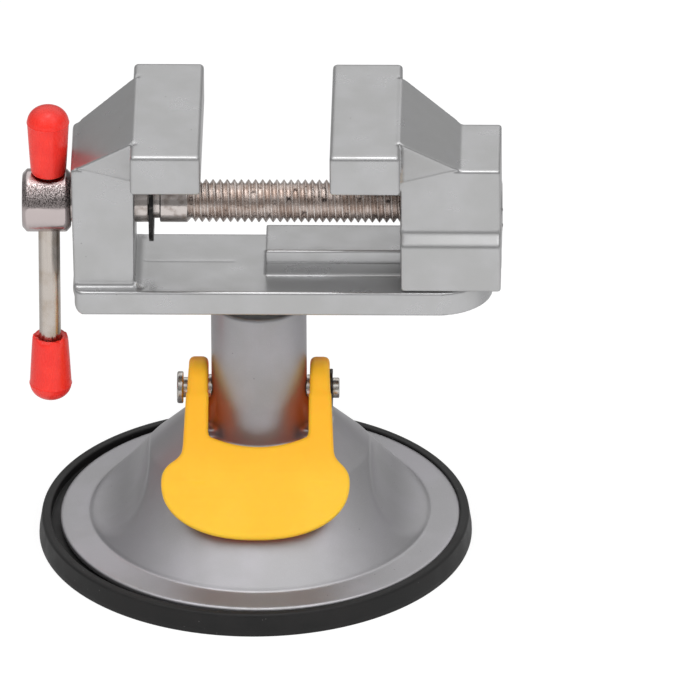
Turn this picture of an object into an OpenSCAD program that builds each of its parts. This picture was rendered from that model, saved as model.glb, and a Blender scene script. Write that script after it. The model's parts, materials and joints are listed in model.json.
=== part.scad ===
// Suction base vise: a small bench vise that swivels on the column of a lever-locked suction base.
// Millimetres, +Z up. X runs along the lead screw, and the paddle of the lever is on the -Y side.
// Heights are measured from the surface that the rubber ring stands on.

/* [Base] */
// Outer radius of the rubber ring
cup_r = 55; // [52:0.5:60]
// Height of the rubber rim
cup_h = 6; // [5:0.25:8]
// Width of the rubber rim beside the metal disc
cup_rim_w = 3.5; // [2.5:0.25:5]
// How far the rim leans in from foot to top
cup_rim_lean = 0.8; // [0.2:0.1:1.5]
// Height of the ledge that the metal disc sits on
cup_ledge_z = 4.2; // [3:0.1:4.8]
// Width of the rubber ring from its foot to the diaphragm
cup_ring_w = 15; // [12:0.5:18]
// Thickness of the metal flange at its edge
flange_t = 1.6; // [1.2:0.1:1.8]
// Width of the flat flange round the dome
flange_w = 7.7; // [6:0.1:10]
// Rise of the flange from its edge to the bead
flange_rise = 0.7; // [0.3:0.1:1.2]
// Height of the bead where the flange meets the dome
bead_h = 0.3; // [0.1:0.05:0.5]
// Angle of the dome's cone
dome_angle = 44; // [41:0.5:45]
// Wall thickness of the dome
dome_wall = 2.6; // [2:0.1:3.2]
// Radius of the scoops in the dome's two sides
scoop_r = 17.4; // [16:0.1:20]
// Height of the scoops' lowest line over the dome's foot
scoop_lift = 0.2; // [0.1:0.1:0.8]
// Radius of the fillet between dome and column
dome_fillet_r = 7.5; // [3:0.5:8]
// Radius of the column
column_r = 12.15; // [11.5:0.05:12.5]
// Height of the column's top over the point of the dome's cone
column_rise = 19.49; // [17.5:0.01:24]
// Radius of the column's rounded rim
column_rim_r = 0.8; // [0.5:0.1:2.6]

/* [Suction] */
// Thickness of the rubber diaphragm
diaphragm_t = 2.2; // [1.6:0.1:2.6]
// Height of the diaphragm's edge above the surface
diaphragm_edge_z = 1; // [0.5:0.1:1.5]
// Rise of the middle of the locked diaphragm over its edge
diaphragm_rise = 3.6; // [3.2:0.1:4]
// Radius of the thick middle of the diaphragm
boss_r = 11; // [10:0.5:13]
// Height of the thick middle over the diaphragm
boss_h = 1.5; // [1:0.1:2]
// Radius of the stem's foot
foot_r = 9.6; // [9.2:0.1:9.9]
// Thickness of the stem's foot
foot_t = 2; // [1.5:0.1:2.5]
// Radius of the stem
stem_r = 5.8; // [5.4:0.1:6]
// Height of the stem's top over the lever's pin
stem_over = 4.9; // [4.4:0.1:5.1]
// Depth below the pin of the shoulder that the release spring pushes against
spring_seat_drop = 12; // [11:0.5:14]
// Radius of the release spring to the middle of its wire
spring_r = 7.6; // [7.3:0.1:7.9]
// Radius of the spring's wire
wire_r = 0.7; // [0.5:0.1:0.9]
// Turns of the release spring
spring_turns = 6; // [4:1:7]

/* [Lever] */
// Depth of the lever's locked pin below the point of the dome's cone
pin_drop = 6.61; // [6.3:0.01:7.1]
// Radius of the pin
pin_r = 2.6; // [2.2:0.05:2.7]
// Radius of the pin's head
pin_head_r = 4.1; // [3.5:0.1:4.5]
// Thickness of the pin's head
pin_head_t = 1.6; // [1.2:0.1:2]
// Bare length of pin between its head and the arm
pin_slack = 1.4; // [0.5:0.1:2]
// Length of the pin's end past its clip
pin_tail = 1.7; // [1.2:0.1:2.5]
// Radius at the bottom of the pin's groove
pin_groove_r = 2.1; // [1.8:0.05:2.15]
// Thickness of the pin's clip
pin_clip_t = 0.8; // [0.6:0.05:1]
// Outer radius of the pin's clip
pin_clip_r = 4.85; // [4.4:0.05:5.2]
// Outer radius of the spacer rings
spacer_r = 3.4; // [3.2:0.1:3.6]
// Gap between the column and an arm, which a spacer ring fills
arm_gap = 0.8; // [0.7:0.05:1.2]
// Thickness of an arm
arm_t = 4.95; // [4.5:0.05:5.5]
// Radius of the arm's round end
arm_end_r = 7.9; // [7.5:0.1:8.2]
// Reach of the cam below the pin when locked
lock_reach = 8; // [7.8:0.1:8.2]
// How far the cam lifts the stem
lock_lift = 3; // [2.4:0.1:3]
// Swing of the lever from locked to released, in degrees
release_angle = 70; // [60:1:70]
// Slope of the lever's top face when locked, in degrees
lever_slope = 43.5; // [43:0.25:44]
// Depth of an arm where the paddle starts
arm_depth = 5.2; // [4.5:0.1:5.6]
// Thickness of the paddle
paddle_t = 2.3; // [1.8:0.1:2.5]
// Half the width of the paddle
paddle_half_w = 24.2; // [22:0.1:26]
// Distance along the slope from the pin to the paddle's widest place
paddle_mid = 28.3; // [27:0.1:29]
// Length of the paddle's rounded end past its widest place
paddle_end = 15.3; // [13:0.1:16]
// Length of the paddle's shoulder before its widest place
paddle_shoulder = 9.4; // [8.5:0.1:10]
// Distance along the slope from the pin to the paddle's root edge
paddle_root = 18.65; // [18.5:0.05:19]
// Radius of the hollow in the paddle's root edge
root_arc_r = 29.2; // [27:0.1:32]
// How far an arm flares outwards down to the paddle
arm_flare = 0.7; // [0.3:0.1:1]
// Distance along the slope from the pin to the start of the flare
flare_start = 2; // [1:0.5:6]
// Half the length of the pad that a cam bears on
pad_half = 8; // [7:0.1:8.4]

/* [Swivel] */
// Gap between the column's top and the vise's bed
swivel_gap = 3.7; // [3:0.1:5]
// Radius of the spigot under the bed
spigot_r = 8; // [7:0.05:8.2]
// Wall thickness of the swivel bush
bush_wall = 1.25; // [1:0.05:1.3]
// Thickness of the bush's floor
bush_floor = 1.2; // [0.8:0.1:1.6]
// Depth of the bush's seat below the column's top
bush_seat = 9.6; // [8.5:0.1:9.8]
// How far the bush stops below the column's top
bush_drop = 0.8; // [0.5:0.1:1.5]
// Thickness of the web under the bush
web_t = 3.5; // [3.2:0.1:3.6]
// Radius of the swivel screw
swivel_screw_r = 2.5; // [2:0.05:2.5]
// Radius of the swivel screw's head
swivel_head_r = 4.25; // [3.8:0.05:4.5]
// Height of the swivel screw's head
swivel_head_h = 4.9; // [4:0.1:5]
// Length of thread in the spigot
swivel_thread = 10; // [8:0.5:12]
// Thickness of the flat washer
washer_t = 1; // [0.8:0.05:1]
// Outer radius of the flat washer
washer_r = 5.2; // [4.9:0.05:5.3]
// Thickness of the split lock washer
lock_washer_t = 1.2; // [0.9:0.05:1.2]
// Outer radius of the split lock washer
lock_washer_r = 4.6; // [4.2:0.05:4.7]
// Width across the hexagon of the screw's socket
socket_af = 4; // [3:0.25:4.5]
// Depth of the screw's socket
socket_h = 2.6; // [2:0.1:3]

/* [Vise body] */
// Left end of the bed from the column's axis
bed_left = 46.4; // [45:0.1:47]
// Right end of the bed from the column's axis
bed_right = 59.6; // [56:0.1:61]
// Half the width of the bed
bed_half_w = 15.8; // [14.5:0.1:17]
// Thickness of the bed
bed_t = 6.2; // [5:0.1:7]
// Corner radius of the bed at its left end
bed_left_r = 4.5; // [3:0.5:6]
// Corner radius of the bed at its right end
bed_right_r = 14; // [10:0.5:14.5]
// Left face of the fixed jaw from the column's axis
jaw_left = 47.5; // [47:0.1:48]
// Length of the fixed jaw's body along X
jaw_len = 16.1; // [14:0.1:17]
// Half the width of the jaw bodies
jaw_half_w = 12.5; // [11.5:0.1:13]
// Height of the jaw bodies' tops over the screw's axis
jaw_over = 14.9; // [14:0.1:16]
// Radius of the fillet at the fixed jaw's foot
foot_fillet_r = 2; // [1:0.25:3]
// Thickness of the jaw blocks along X
block_t = 17.6; // [15:0.1:18.2]
// Height of the jaw blocks
block_h = 11.3; // [9:0.1:12]
// Depth of the blocks' lower faces below the jaw bodies' tops
block_drop = 0.1; // [0.1:0.1:1.5]
// Half the width of the jaw blocks
block_half_w = 24.8; // [22:0.1:28]
// Overlap of a block with its jaw body
block_lap = 0.7; // [0.4:0.1:1.2]
// Half the width of the gusset at the block
gusset_half_w = 16.6; // [15:0.1:18]
// Drop of the gusset's wide end below the block's top
gusset_drop = 0.9; // [0.5:0.1:1.5]
// Depth of the gusset's lower edge below the jaw body's top
gusset_depth = 4; // [3:0.1:5]
// Half the width of the rail's head
rail_half_w = 7.1; // [6.5:0.1:8]
// Half the width of the rail's neck
rail_neck_half_w = 5.6; // [5:0.1:6]
// Height of the rail
rail_h = 7.4; // [6.5:0.1:8]
// Height of the rail's neck
rail_neck_h = 3.8; // [3:0.1:4.2]
// Left end of the rail from the column's axis
rail_left = 2; // [0:0.1:3]
// Distance from the rail's right end to the bed's right end
rail_inset = 1.6; // [0.5:0.1:3]

/* [Moving jaw] */
// Opening between the jaws as shown
opening = 32.8; // [20:0.1:33]
// Opening left when the screw is wound right in
opening_left = 0.4; // [0.3:0.1:1]
// Overlap of the moving jaw's block with its body
slide_lap = 0.1; // [0.1:0.1:0.8]
// Length of the moving jaw's body
slide_len = 26.3; // [24:0.1:27]
// Length of the moving jaw's flat end behind its gusset
boss_len = 10; // [8:0.1:11]
// Half the width of the moving jaw's skirt
skirt_half_w = 15.6; // [14.2:0.1:16]
// Height of the skirt's top face over the bed
skirt_h = 14; // [12:0.1:15]
// Rise of the shelf from the skirt to the jaw body
shelf_rise = 2.4; // [1:0.1:3]

/* [Screw] */
// Height of the screw's axis over the bed
screw_rise = 18.1; // [17.5:0.1:19]
// Radius of the screw's plain shank
shank_r = 5.5; // [5:0.05:5.6]
// Radius over the screw's thread
thread_r = 5.4; // [5:0.05:5.45]
// Depth of the thread
thread_depth = 1; // [0.7:0.05:1.1]
// Pitch of the thread
pitch = 1.8; // [1.5:0.05:2]
// Length of the chamfer where the shank meets the thread
shank_chamfer = 1.5; // [0.8:0.1:2]
// Length of plain shank past the fixed jaw
shank_out = 14.4; // [12:0.1:15]
// Length of thread
thread_len = 68.4; // [64:0.1:72]
// Length of the screw's head
head_len = 12.2; // [11:0.1:13]
// Radius of the screw's head
head_r = 8.05; // [7.5:0.05:8.5]
// Chamfer at the head's ends
head_chamfer = 1.3; // [0.8:0.1:1.8]
// Gap between the head and the fixed jaw
head_gap = 0.45; // [0.3:0.05:0.8]
// Distance from the fixed jaw's inner face to the clip's groove
groove_out = 3.2; // [2.5:0.1:4]
// Width of the clip's groove
groove_w = 2.8; // [2:0.1:3]
// Radius at the bottom of the groove
groove_r = 4.5; // [4:0.05:4.6]
// Thickness of the screw's clip
clip_t = 1.15; // [0.9:0.05:1.4]
// Outer radius of the screw's clip
clip_r = 10.4; // [9:0.1:10.6]

/* [Tommy bar] */
// Radius of the tommy bar
bar_r = 2.75; // [2.4:0.05:3]
// Length of the tommy bar over its caps
bar_len = 83.8; // [78:0.2:90]
// Length of a cap
cap_len = 18.4; // [16:0.1:20]
// Radius of a cap at its open end
cap_mouth_r = 4.55; // [4:0.05:4.8]
// Radius of a cap at its seam
cap_r = 5.4; // [5:0.05:5.45]
// Height of a cap's domed end
cap_dome_h = 3.85; // [3:0.05:4.5]
// Thickness of a cap's closed end over the bar
cap_crown = 3; // [2:0.1:4]
// Gap between the upper cap and the head that it rests on
cap_gap = 0.3; // [0.1:0.05:0.5]

/* [Fits] */
// Radial clearance of a running fit
running_gap = 0.05; // [0.03:0.01:0.09]
// Clearance between castings that slide on each other
slide_gap = 0.25; // [0.2:0.05:0.4]
// Clearance round parts that only pass by
free_gap = 0.3; // [0.2:0.05:0.5]
// Gap between a cam and its pad
cam_gap = 0.1; // [0.05:0.01:0.15]

/* [Hidden] */
$fn = 96;

// Overrun of cuts past the faces that they open
cut = 1;
// Steps in a drawn arc
arc_steps = 8;
// Sides of the hexagon socket
hex_sides = 6;
// Sides of the spring's wire, and its rings in a turn
wire_sides = 6;
turn_rings = 8;
// Width of a clip's ring, its prongs and its mouth, as shares of its outer radius
clip_ring_share = 0.3;
clip_prong_share = 0.34;
clip_mouth_share = 1;
// Exponents of the paddle's two rounded ends
end_power_share = 2.2;
shoulder_power_share = 2.5;
// Step of the angle along the cam and round the arm's end
cam_step = 5;
// Angles before straight down where the cam ends and where its flat starts
cam_end_angle = 10;
cam_flat_angle = 20;
// Widest angle between a point of the cam and straight down at which it can meet the pad
cam_reach_angle = 75;

// Base
disc_r = cup_r - cup_rim_lean - cup_rim_w + free_gap;
rim_inner_r = disc_r + free_gap;
ledge_inner_r = cup_r - cup_ring_w;
flange_edge_z = cup_ledge_z + flange_t;
bead_r = disc_r - flange_w;
bead_z = flange_edge_z + flange_rise;
dome_foot_z = bead_z + bead_h;
dome_apex_z = dome_foot_z + bead_r * tan(dome_angle);
wall_drop = dome_wall / cos(dome_angle);
column_top = dome_apex_z + column_rise;
scoop_z = dome_foot_z + scoop_lift + scoop_r;
// The fillet is tangent to the cone and to the column
fillet_x = column_r + dome_fillet_r;
fillet_z = dome_apex_z - fillet_x * tan(dome_angle) + dome_fillet_r / cos(dome_angle);

// Suction
pin_z = dome_apex_z - pin_drop;
stem_top = pin_z + stem_over;
spring_seat_z = pin_z - spring_seat_drop;
diaphragm_mid_z = diaphragm_edge_z + diaphragm_rise;
boss_top_z = diaphragm_mid_z + diaphragm_t + boss_h;
stem_foot_top = boss_top_z + foot_t;
stem_bore_r = stem_r + running_gap;
spring_bottom_z = stem_foot_top + wire_r + cam_gap;
spring_top_z = spring_seat_z - wire_r - cam_gap;
spring_room_r = foot_r + free_gap;
spring_pitch = (spring_top_z - spring_bottom_z) / spring_turns;

// Lever
pin_bore_r = pin_r + running_gap;
arm_inner = column_r + arm_gap;
arm_outer = arm_inner + arm_t;
pad_z = pin_z - lock_reach;
paddle_tip = paddle_mid + paddle_end;

// Swivel
bed_z = column_top + swivel_gap;
bed_top = bed_z + bed_t;
bush_inner_r = spigot_r + running_gap;
bush_r = bush_inner_r + bush_wall;
web_top = column_top - bush_seat;
web_z = web_top - web_t;
spigot_z = web_top + bush_floor;
screw_pass_r = swivel_screw_r + free_gap;

// Vise
screw_z = bed_top + screw_rise;
jaw_top = screw_z + jaw_over;
jaw_inner = -jaw_left + jaw_len;
block_z = jaw_top - block_drop;
block_top = block_z + block_h;
fixed_grip = jaw_inner - block_lap + block_t;
moving_grip = fixed_grip + opening;
slide_left = moving_grip + block_t - slide_lap;
slide_right = slide_left + slide_len;
screw_bore_r = shank_r + running_gap;
jaw_bore_r = thread_r + running_gap;
head_right = -jaw_left - head_gap;
head_left = head_right - head_len;
head_mid = head_left + head_len / 2;
shank_end = jaw_inner + shank_out;
groove_left = jaw_inner + groove_out;
thread_end = shank_end + thread_len;
upper_cap_z = screw_z + head_r + cap_gap;
bar_top = upper_cap_z + cap_len;
bar_bottom = bar_top - bar_len;

// The origin is under the middle of the whole part, so the column's axis lies beside it
axis_x = -(slide_right + head_left) / 2;

// Points of an arc about [x, y], both ends included
function arc(x, y, r, from, to) =
  [for (i = [0:arc_steps]) let (a = from + (to - from) * i / arc_steps) [x + r * cos(a), y + r * sin(a)]];

// Reach of the cam at an angle from straight down towards the back: no deeper than the pad's line
// at any angle of the swing, while the pin drops in step with the swing
function cam_reach(angle) = min([arm_end_r,
  for (t = [0:cam_step:release_angle]) if (cos(angle - t) > cos(cam_reach_angle))
    (lock_reach - cam_gap - lock_lift * t / release_angle) / cos(angle - t)]);

// Part of a superellipse, from its widest place at 0 degrees to its end at 90
function lobe(half_w, length, power, from, to, steps) =
  [for (i = [0:steps]) let (a = from + (to - from) * i / steps)
    [half_w * pow(cos(a), 2 / power), length * pow(sin(a), 2 / power)]];

module at_axis() {
  translate([axis_x, 0, 0]) children();
}

// A cylinder along +X from x
module rod_x(x, length, r) {
  translate([x, 0, 0]) rotate([0, 90, 0]) cylinder(h = length, r = r);
}

// A ring along +X from x
module ring_x(x, length, outer, inner) {
  difference() {
    rod_x(x, length, outer);
    rod_x(x - cut, length + 2 * cut, inner);
  }
}

// A washer along +Z from z
module ring_z(z, length, outer, inner) {
  translate([0, 0, z]) difference() {
    cylinder(h = length, r = outer);
    translate([0, 0, -cut]) cylinder(h = length + 2 * cut, r = inner);
  }
}

// An outline in Y and Z carried along +X from x
module bar_x(x, length) {
  translate([x, 0, 0]) rotate([90, 0, 90]) linear_extrude(height = length) children();
}

// A snap clip along +X: an open ring with three prongs that reach down to the groove
module e_clip(thickness, outer, groove) {
  ring_w = outer * clip_ring_share;
  prong_w = outer * clip_prong_share;
  mouth_w = outer * clip_mouth_share;
  rotate([90, 0, 90]) linear_extrude(height = thickness) difference() {
    union() {
      difference() {
        circle(r = outer);
        circle(r = outer - ring_w);
        translate([0, -mouth_w / 2]) square([outer + cut, mouth_w]);
      }
      for (a = [90, 180, 270]) rotate(a)
        translate([groove / 2, -prong_w / 2]) square([outer - ring_w / 2 - groove / 2, prong_w]);
    }
    circle(r = groove);
  }
}

// Profile of the dome's outside with its column, from the flange's edge to the rim
module housing_outside() {
  polygon(concat(
    [[0, cup_ledge_z], [disc_r, cup_ledge_z], [disc_r, flange_edge_z], [bead_r, bead_z],
     [bead_r, dome_foot_z]],
    arc(fillet_x, fillet_z, dome_fillet_r, 270 - dome_angle, 180),
    arc(column_r - column_rim_r, column_top - column_rim_r, column_rim_r, 0, 90),
    [[0, column_top]]));
}

// Profile of the hollow under the dome
module housing_inside() {
  hollow_r = bead_r - wall_drop / tan(dome_angle);
  seat_r = (dome_apex_z - wall_drop - spring_seat_z) / tan(dome_angle);
  foot = cup_ledge_z - cut;
  polygon([[0, foot], [hollow_r, foot], [hollow_r, dome_foot_z], [seat_r, spring_seat_z], [0, spring_seat_z]]);
}

// The pair of cylinders that scoop out the dome's sides
module scoops(radius) {
  for (side = [-1, 1]) translate([side * bead_r, 0, scoop_z]) rotate([90, 0, 0])
    cylinder(h = 2 * cup_r, r = radius, center = true);
}

// One cam pad on each side of the column
module cam_pads() {
  for (side = [-1, 1])
    translate([side * (arm_inner + arm_outer) / 2, 0, pad_z / 2])
      cube([arm_t, 2 * pad_half, pad_z], center = true);
}

// Room over the pads for the arms
module arm_room() {
  inside = column_r + running_gap / 2;
  room = arm_outer + free_gap - inside;
  for (side = [-1, 1])
    translate([side * (inside + room / 2), 0, pad_z + arm_end_r])
      cube([room, 2 * (pad_half + free_gap) + arm_gap, 2 * arm_end_r], center = true);
}

module base_housing() color([0.62, 0.61, 0.64]) at_axis() difference() {
  union() {
    difference() {
      rotate_extrude() housing_outside();
      scoops(scoop_r);
      arm_room();
    }
    difference() {
      cam_pads();
      translate([0, 0, -cut]) cylinder(h = spring_seat_z - wall_drop + cut, r = arm_outer + arm_t);
    }
  }
  difference() {
    rotate_extrude() housing_inside();
    scoops(scoop_r + dome_wall);
  }
  translate([0, 0, spring_seat_z - cut]) cylinder(h = web_z - spring_seat_z + cut, r = stem_bore_r);
  cylinder(h = spring_seat_z, r = spring_room_r);
  translate([0, 0, web_z - cut]) cylinder(h = web_t + 2 * cut, r = screw_pass_r);
  translate([0, 0, web_top]) cylinder(h = bush_seat + cut, r = bush_r);
  pin_slots();
}

// Upright slots that let the pin drop as the lever is released
module pin_slots() {
  length = 2 * (column_r + cut);
  for (z = [pin_z, pin_z - lock_lift])
    translate([0, 0, z]) rod_x(-length / 2, length, pin_bore_r);
  translate([0, 0, pin_z - lock_lift / 2]) cube([length, 2 * pin_bore_r, lock_lift], center = true);
}

module suction_cup() color([0.16, 0.16, 0.16]) at_axis() rotate_extrude()
  polygon([[ledge_inner_r, diaphragm_edge_z], [ledge_inner_r + diaphragm_edge_z * 2, 0], [cup_r, 0],
    [cup_r - cup_rim_lean, cup_h], [rim_inner_r, cup_h], [rim_inner_r, cup_ledge_z],
    [ledge_inner_r, cup_ledge_z]]);

module cup_diaphragm() color([0.2, 0.2, 0.2]) at_axis() rotate_extrude()
  polygon([[0, diaphragm_mid_z], [boss_r, diaphragm_mid_z], [ledge_inner_r, diaphragm_edge_z],
    [ledge_inner_r, diaphragm_edge_z + diaphragm_t], [boss_r, diaphragm_mid_z + diaphragm_t],
    [boss_r, boss_top_z], [0, boss_top_z]]);

module cup_stem() color([0.75, 0.75, 0.76]) at_axis() difference() {
  union() {
    translate([0, 0, boss_top_z]) cylinder(h = foot_t, r = foot_r);
    translate([0, 0, boss_top_z]) cylinder(h = stem_top - boss_top_z, r = stem_r);
  }
  translate([0, 0, pin_z]) rod_x(-stem_r - cut, 2 * (stem_r + cut), pin_bore_r);
}

// Rings of six points along a helix, joined by triangles
module release_spring() color([0.7, 0.7, 0.72]) at_axis() {
  rings = spring_turns * turn_rings;
  climb = atan(spring_pitch / (2 * PI * spring_r));
  points = [for (i = [0:rings], k = [0:wire_sides - 1])
    let (turn = 360 * i / turn_rings, a = 360 * k / wire_sides, out = wire_r * cos(a), up = wire_r * sin(a),
         r = spring_r + out, back = -up * sin(climb))
    [r * cos(turn) - back * sin(turn), r * sin(turn) + back * cos(turn),
     spring_bottom_z + spring_pitch * i / turn_rings + up * cos(climb)]];
  walls = [for (i = [0:rings - 1], k = [0:wire_sides - 1], half = [0, 1])
    let (a = i * wire_sides + k, b = i * wire_sides + (k + 1) % wire_sides)
    half == 0 ? [a, a + wire_sides, b] : [b, a + wire_sides, b + wire_sides]];
  start = [for (k = [1:wire_sides - 2]) [0, k, k + 1]];
  last = rings * wire_sides;
  end = [for (k = [1:wire_sides - 2]) [last, last + k + 1, last + k]];
  echo(spring_gap = spring_pitch * cos(climb) - 2 * wire_r);
  polyhedron(points = points, faces = concat(walls, start, end), convexity = 10);
}

// A place given level in Y and Z about the pin, as seen along the slope
function along_slope(y, z) = [
  y * cos(lever_slope) + z * sin(lever_slope), z * cos(lever_slope) - y * sin(lever_slope)];

// Side outline of an arm about the pin, with x along the slope away from the paddle: the round end,
// the cam, its flat on the pad, and the bar that thins out into the paddle
module arm_outline() {
  flat_z = cam_gap - lock_reach;
  round_end = [for (angle = [180 + lever_slope : -cam_step : -cam_end_angle]) let (r = cam_reach(angle))
    along_slope(r * sin(angle), -r * cos(angle))];
  polygon(concat(round_end, [
    along_slope(flat_z * tan(cam_flat_angle), flat_z), along_slope(-pad_half, flat_z),
    [-paddle_root, arm_end_r - arm_depth], [-paddle_mid, arm_end_r - paddle_t / 2],
    [-paddle_mid, arm_end_r]]));
}

// Plan of the paddle and the flares of the arms, with y along the slope away from the pin
module paddle_plan() {
  mid_arm = arm_inner + arm_t / 2;
  flared = arm_outer + arm_flare;
  root_angle = asin(mid_arm / root_arc_r);
  flare_angle = acos(pow(flared / paddle_half_w, shoulder_power_share / 2));
  root = [for (i = [0:arc_steps]) let (a = root_angle * i / arc_steps)
    [root_arc_r * sin(a), paddle_root - root_arc_r * (1 - cos(a))]];
  flare = [[mid_arm, flare_start], [arm_outer - arm_flare, flare_start], [flared, paddle_root]];
  shoulder = lobe(paddle_half_w, -paddle_shoulder, shoulder_power_share, flare_angle, 0, arc_steps);
  tip = lobe(paddle_half_w, paddle_end, end_power_share, 0, 90, 2 * arc_steps);
  lobes = [for (p = concat(shoulder, [for (i = [1:len(tip) - 1]) tip[i]])) [p[0], paddle_mid + p[1]]];
  half = concat(root, flare, lobes);
  polygon(concat(half, [for (i = [len(half) - 2 : -1 : 1]) [-half[i][0], half[i][1]]]));
}

module locking_lever() color([1, 0.77, 0.24]) at_axis() translate([0, 0, pin_z]) difference() {
  rotate([lever_slope, 0, 0]) {
    for (x = [-arm_outer, arm_inner]) bar_x(x, arm_t) arm_outline();
    translate([0, 0, arm_end_r - paddle_t]) linear_extrude(height = paddle_t) mirror([0, 1]) paddle_plan();
  }
  rod_x(-arm_outer - cut, 2 * (arm_outer + cut), pin_bore_r);
}

module lever_pin() color([0.8, 0.8, 0.8]) at_axis() translate([0, 0, pin_z]) difference() {
  union() {
    rod_x(-arm_outer - pin_slack, 2 * arm_outer + pin_slack + pin_clip_t + pin_tail, pin_r);
    rod_x(-arm_outer - pin_slack - pin_head_t, pin_head_t, pin_head_r);
  }
  ring_x(arm_outer, pin_clip_t + running_gap, pin_r + cut, pin_groove_r);
}

module lever_pin_clip() color([0.12, 0.12, 0.12]) at_axis()
  translate([arm_outer + running_gap / 2, 0, pin_z]) e_clip(pin_clip_t, pin_clip_r, pin_groove_r);

module left_spacer() color([0.78, 0.78, 0.78]) at_axis() translate([0, 0, pin_z])
  ring_x(-arm_inner + running_gap, arm_gap - 2 * running_gap, spacer_r, pin_bore_r);

module right_spacer() color([0.78, 0.78, 0.78]) at_axis() translate([0, 0, pin_z])
  ring_x(column_r + running_gap, arm_gap - 2 * running_gap, spacer_r, pin_bore_r);

module swivel_bush() color([0.85, 0.84, 0.8]) at_axis() difference() {
  translate([0, 0, web_top]) cylinder(h = bush_seat - bush_drop, r = bush_r);
  translate([0, 0, spigot_z]) cylinder(h = bush_seat, r = bush_inner_r);
  translate([0, 0, web_top - cut]) cylinder(h = bush_floor + 2 * cut, r = screw_pass_r);
}

module swivel_washer() color([0.75, 0.75, 0.75]) at_axis()
  ring_z(web_z - washer_t, washer_t, washer_r, screw_pass_r);

module swivel_lock_washer() color([0.55, 0.55, 0.55]) at_axis() difference() {
  ring_z(web_z - washer_t - lock_washer_t, lock_washer_t, lock_washer_r, screw_pass_r);
  translate([0, -free_gap, web_z - washer_t - lock_washer_t - cut])
    cube([lock_washer_r + cut, 2 * free_gap, lock_washer_t + 2 * cut]);
}

module swivel_screw() color([0.35, 0.35, 0.36]) at_axis() {
  head_z = web_z - washer_t - lock_washer_t - swivel_head_h;
  difference() {
    union() {
      translate([0, 0, head_z]) cylinder(h = swivel_head_h, r = swivel_head_r);
      translate([0, 0, head_z]) cylinder(h = spigot_z + swivel_thread - head_z, r = swivel_screw_r);
    }
    translate([0, 0, head_z - cut])
      cylinder(h = socket_h + cut, r = socket_af / 2 / cos(180 / hex_sides), $fn = hex_sides);
  }
}

// Plan of the bed with its rounded corners
module bed_plan() {
  polygon(concat(
    arc(bed_right - bed_right_r, bed_half_w - bed_right_r, bed_right_r, 0, 90),
    arc(bed_left_r - bed_left, bed_half_w - bed_left_r, bed_left_r, 90, 180),
    arc(bed_left_r - bed_left, bed_left_r - bed_half_w, bed_left_r, 180, 270),
    arc(bed_right - bed_right_r, bed_right_r - bed_half_w, bed_right_r, 270, 360)));
}

// Half of the fixed jaw's outline, with the fillet at its foot
function jaw_side() = concat(
  [[0, bed_top - cut], [jaw_half_w + foot_fillet_r, bed_top - cut]],
  arc(jaw_half_w + foot_fillet_r, bed_top + foot_fillet_r, foot_fillet_r, 270, 180),
  [[jaw_half_w, jaw_top], [0, jaw_top]]);

// The block of a jaw and the gusset behind it, with the grip face at x = 0 and the gusset towards -X
module jaw_block(gusset_len, lap) {
  root = -block_t + lap;
  tip = root - gusset_len;
  high = block_top - gusset_drop;
  low = jaw_top - gusset_depth;
  translate([-block_t, -block_half_w, block_z]) cube([block_t, 2 * block_half_w, block_h]);
  translate([-block_t, -jaw_half_w, low]) cube([lap, 2 * jaw_half_w, block_z - low + cut]);
  polyhedron(points = [
    [tip, -jaw_half_w, jaw_top], [tip, jaw_half_w, jaw_top],
    [root, gusset_half_w, high], [root, -gusset_half_w, high],
    [root, -jaw_half_w, low], [root, jaw_half_w, low]],
    faces = [[0, 1, 2, 3], [0, 3, 4], [1, 5, 2], [0, 4, 5, 1], [3, 2, 5, 4]]);
}

// Half outline of the rail: a head over a narrower neck, grown by a gap for the slot that runs on it
function rail_side(gap) = [[0, bed_top - cut], [rail_neck_half_w + gap, bed_top - cut],
  [rail_neck_half_w + gap, bed_top + rail_neck_h - gap], [rail_half_w + gap, bed_top + rail_neck_h - gap],
  [rail_half_w + gap, bed_top + rail_h + gap], [0, bed_top + rail_h + gap]];

// Both halves of a half outline
module both_sides(points) {
  polygon(points);
  mirror([1, 0]) polygon(points);
}

module vise_body() color([0.66, 0.66, 0.66]) at_axis() difference() {
  union() {
    translate([0, 0, bed_z]) linear_extrude(height = bed_t) bed_plan();
    bar_x(-bed_left, bed_left + jaw_inner) both_sides(jaw_side());
    translate([-jaw_left, -jaw_half_w, bed_top - cut])
      cube([jaw_len, 2 * jaw_half_w, jaw_top - bed_top + cut]);
    translate([fixed_grip, 0, 0]) jaw_block(jaw_len - cut, block_lap);
    bar_x(rail_left, bed_right - rail_inset - rail_left) both_sides(rail_side(0));
    translate([0, 0, spigot_z]) cylinder(h = bed_z + cut - spigot_z, r = spigot_r);
  }
  translate([0, 0, screw_z]) rod_x(-jaw_left - cut, jaw_len + 2 * cut, screw_bore_r);
  translate([0, 0, spigot_z - cut]) cylinder(h = swivel_thread + cut, r = swivel_screw_r);
}

// Half outline of the moving jaw: a wide skirt, a shelf, and the narrower body
function slide_side() = [[0, bed_top + slide_gap], [skirt_half_w, bed_top + slide_gap],
  [skirt_half_w, bed_top + skirt_h], [jaw_half_w, bed_top + skirt_h + shelf_rise],
  [jaw_half_w, jaw_top], [0, jaw_top]];

module moving_jaw() color([0.68, 0.68, 0.68]) at_axis() difference() {
  union() {
    bar_x(slide_left, slide_len) both_sides(slide_side());
    translate([moving_grip, 0, 0]) mirror([1, 0, 0]) jaw_block(slide_len - boss_len, slide_lap);
  }
  bar_x(moving_grip - cut, slide_len + block_t + 2 * cut) both_sides(rail_side(slide_gap));
  translate([0, 0, screw_z]) rod_x(moving_grip, slide_right - moving_grip + cut, jaw_bore_r);
}

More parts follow.
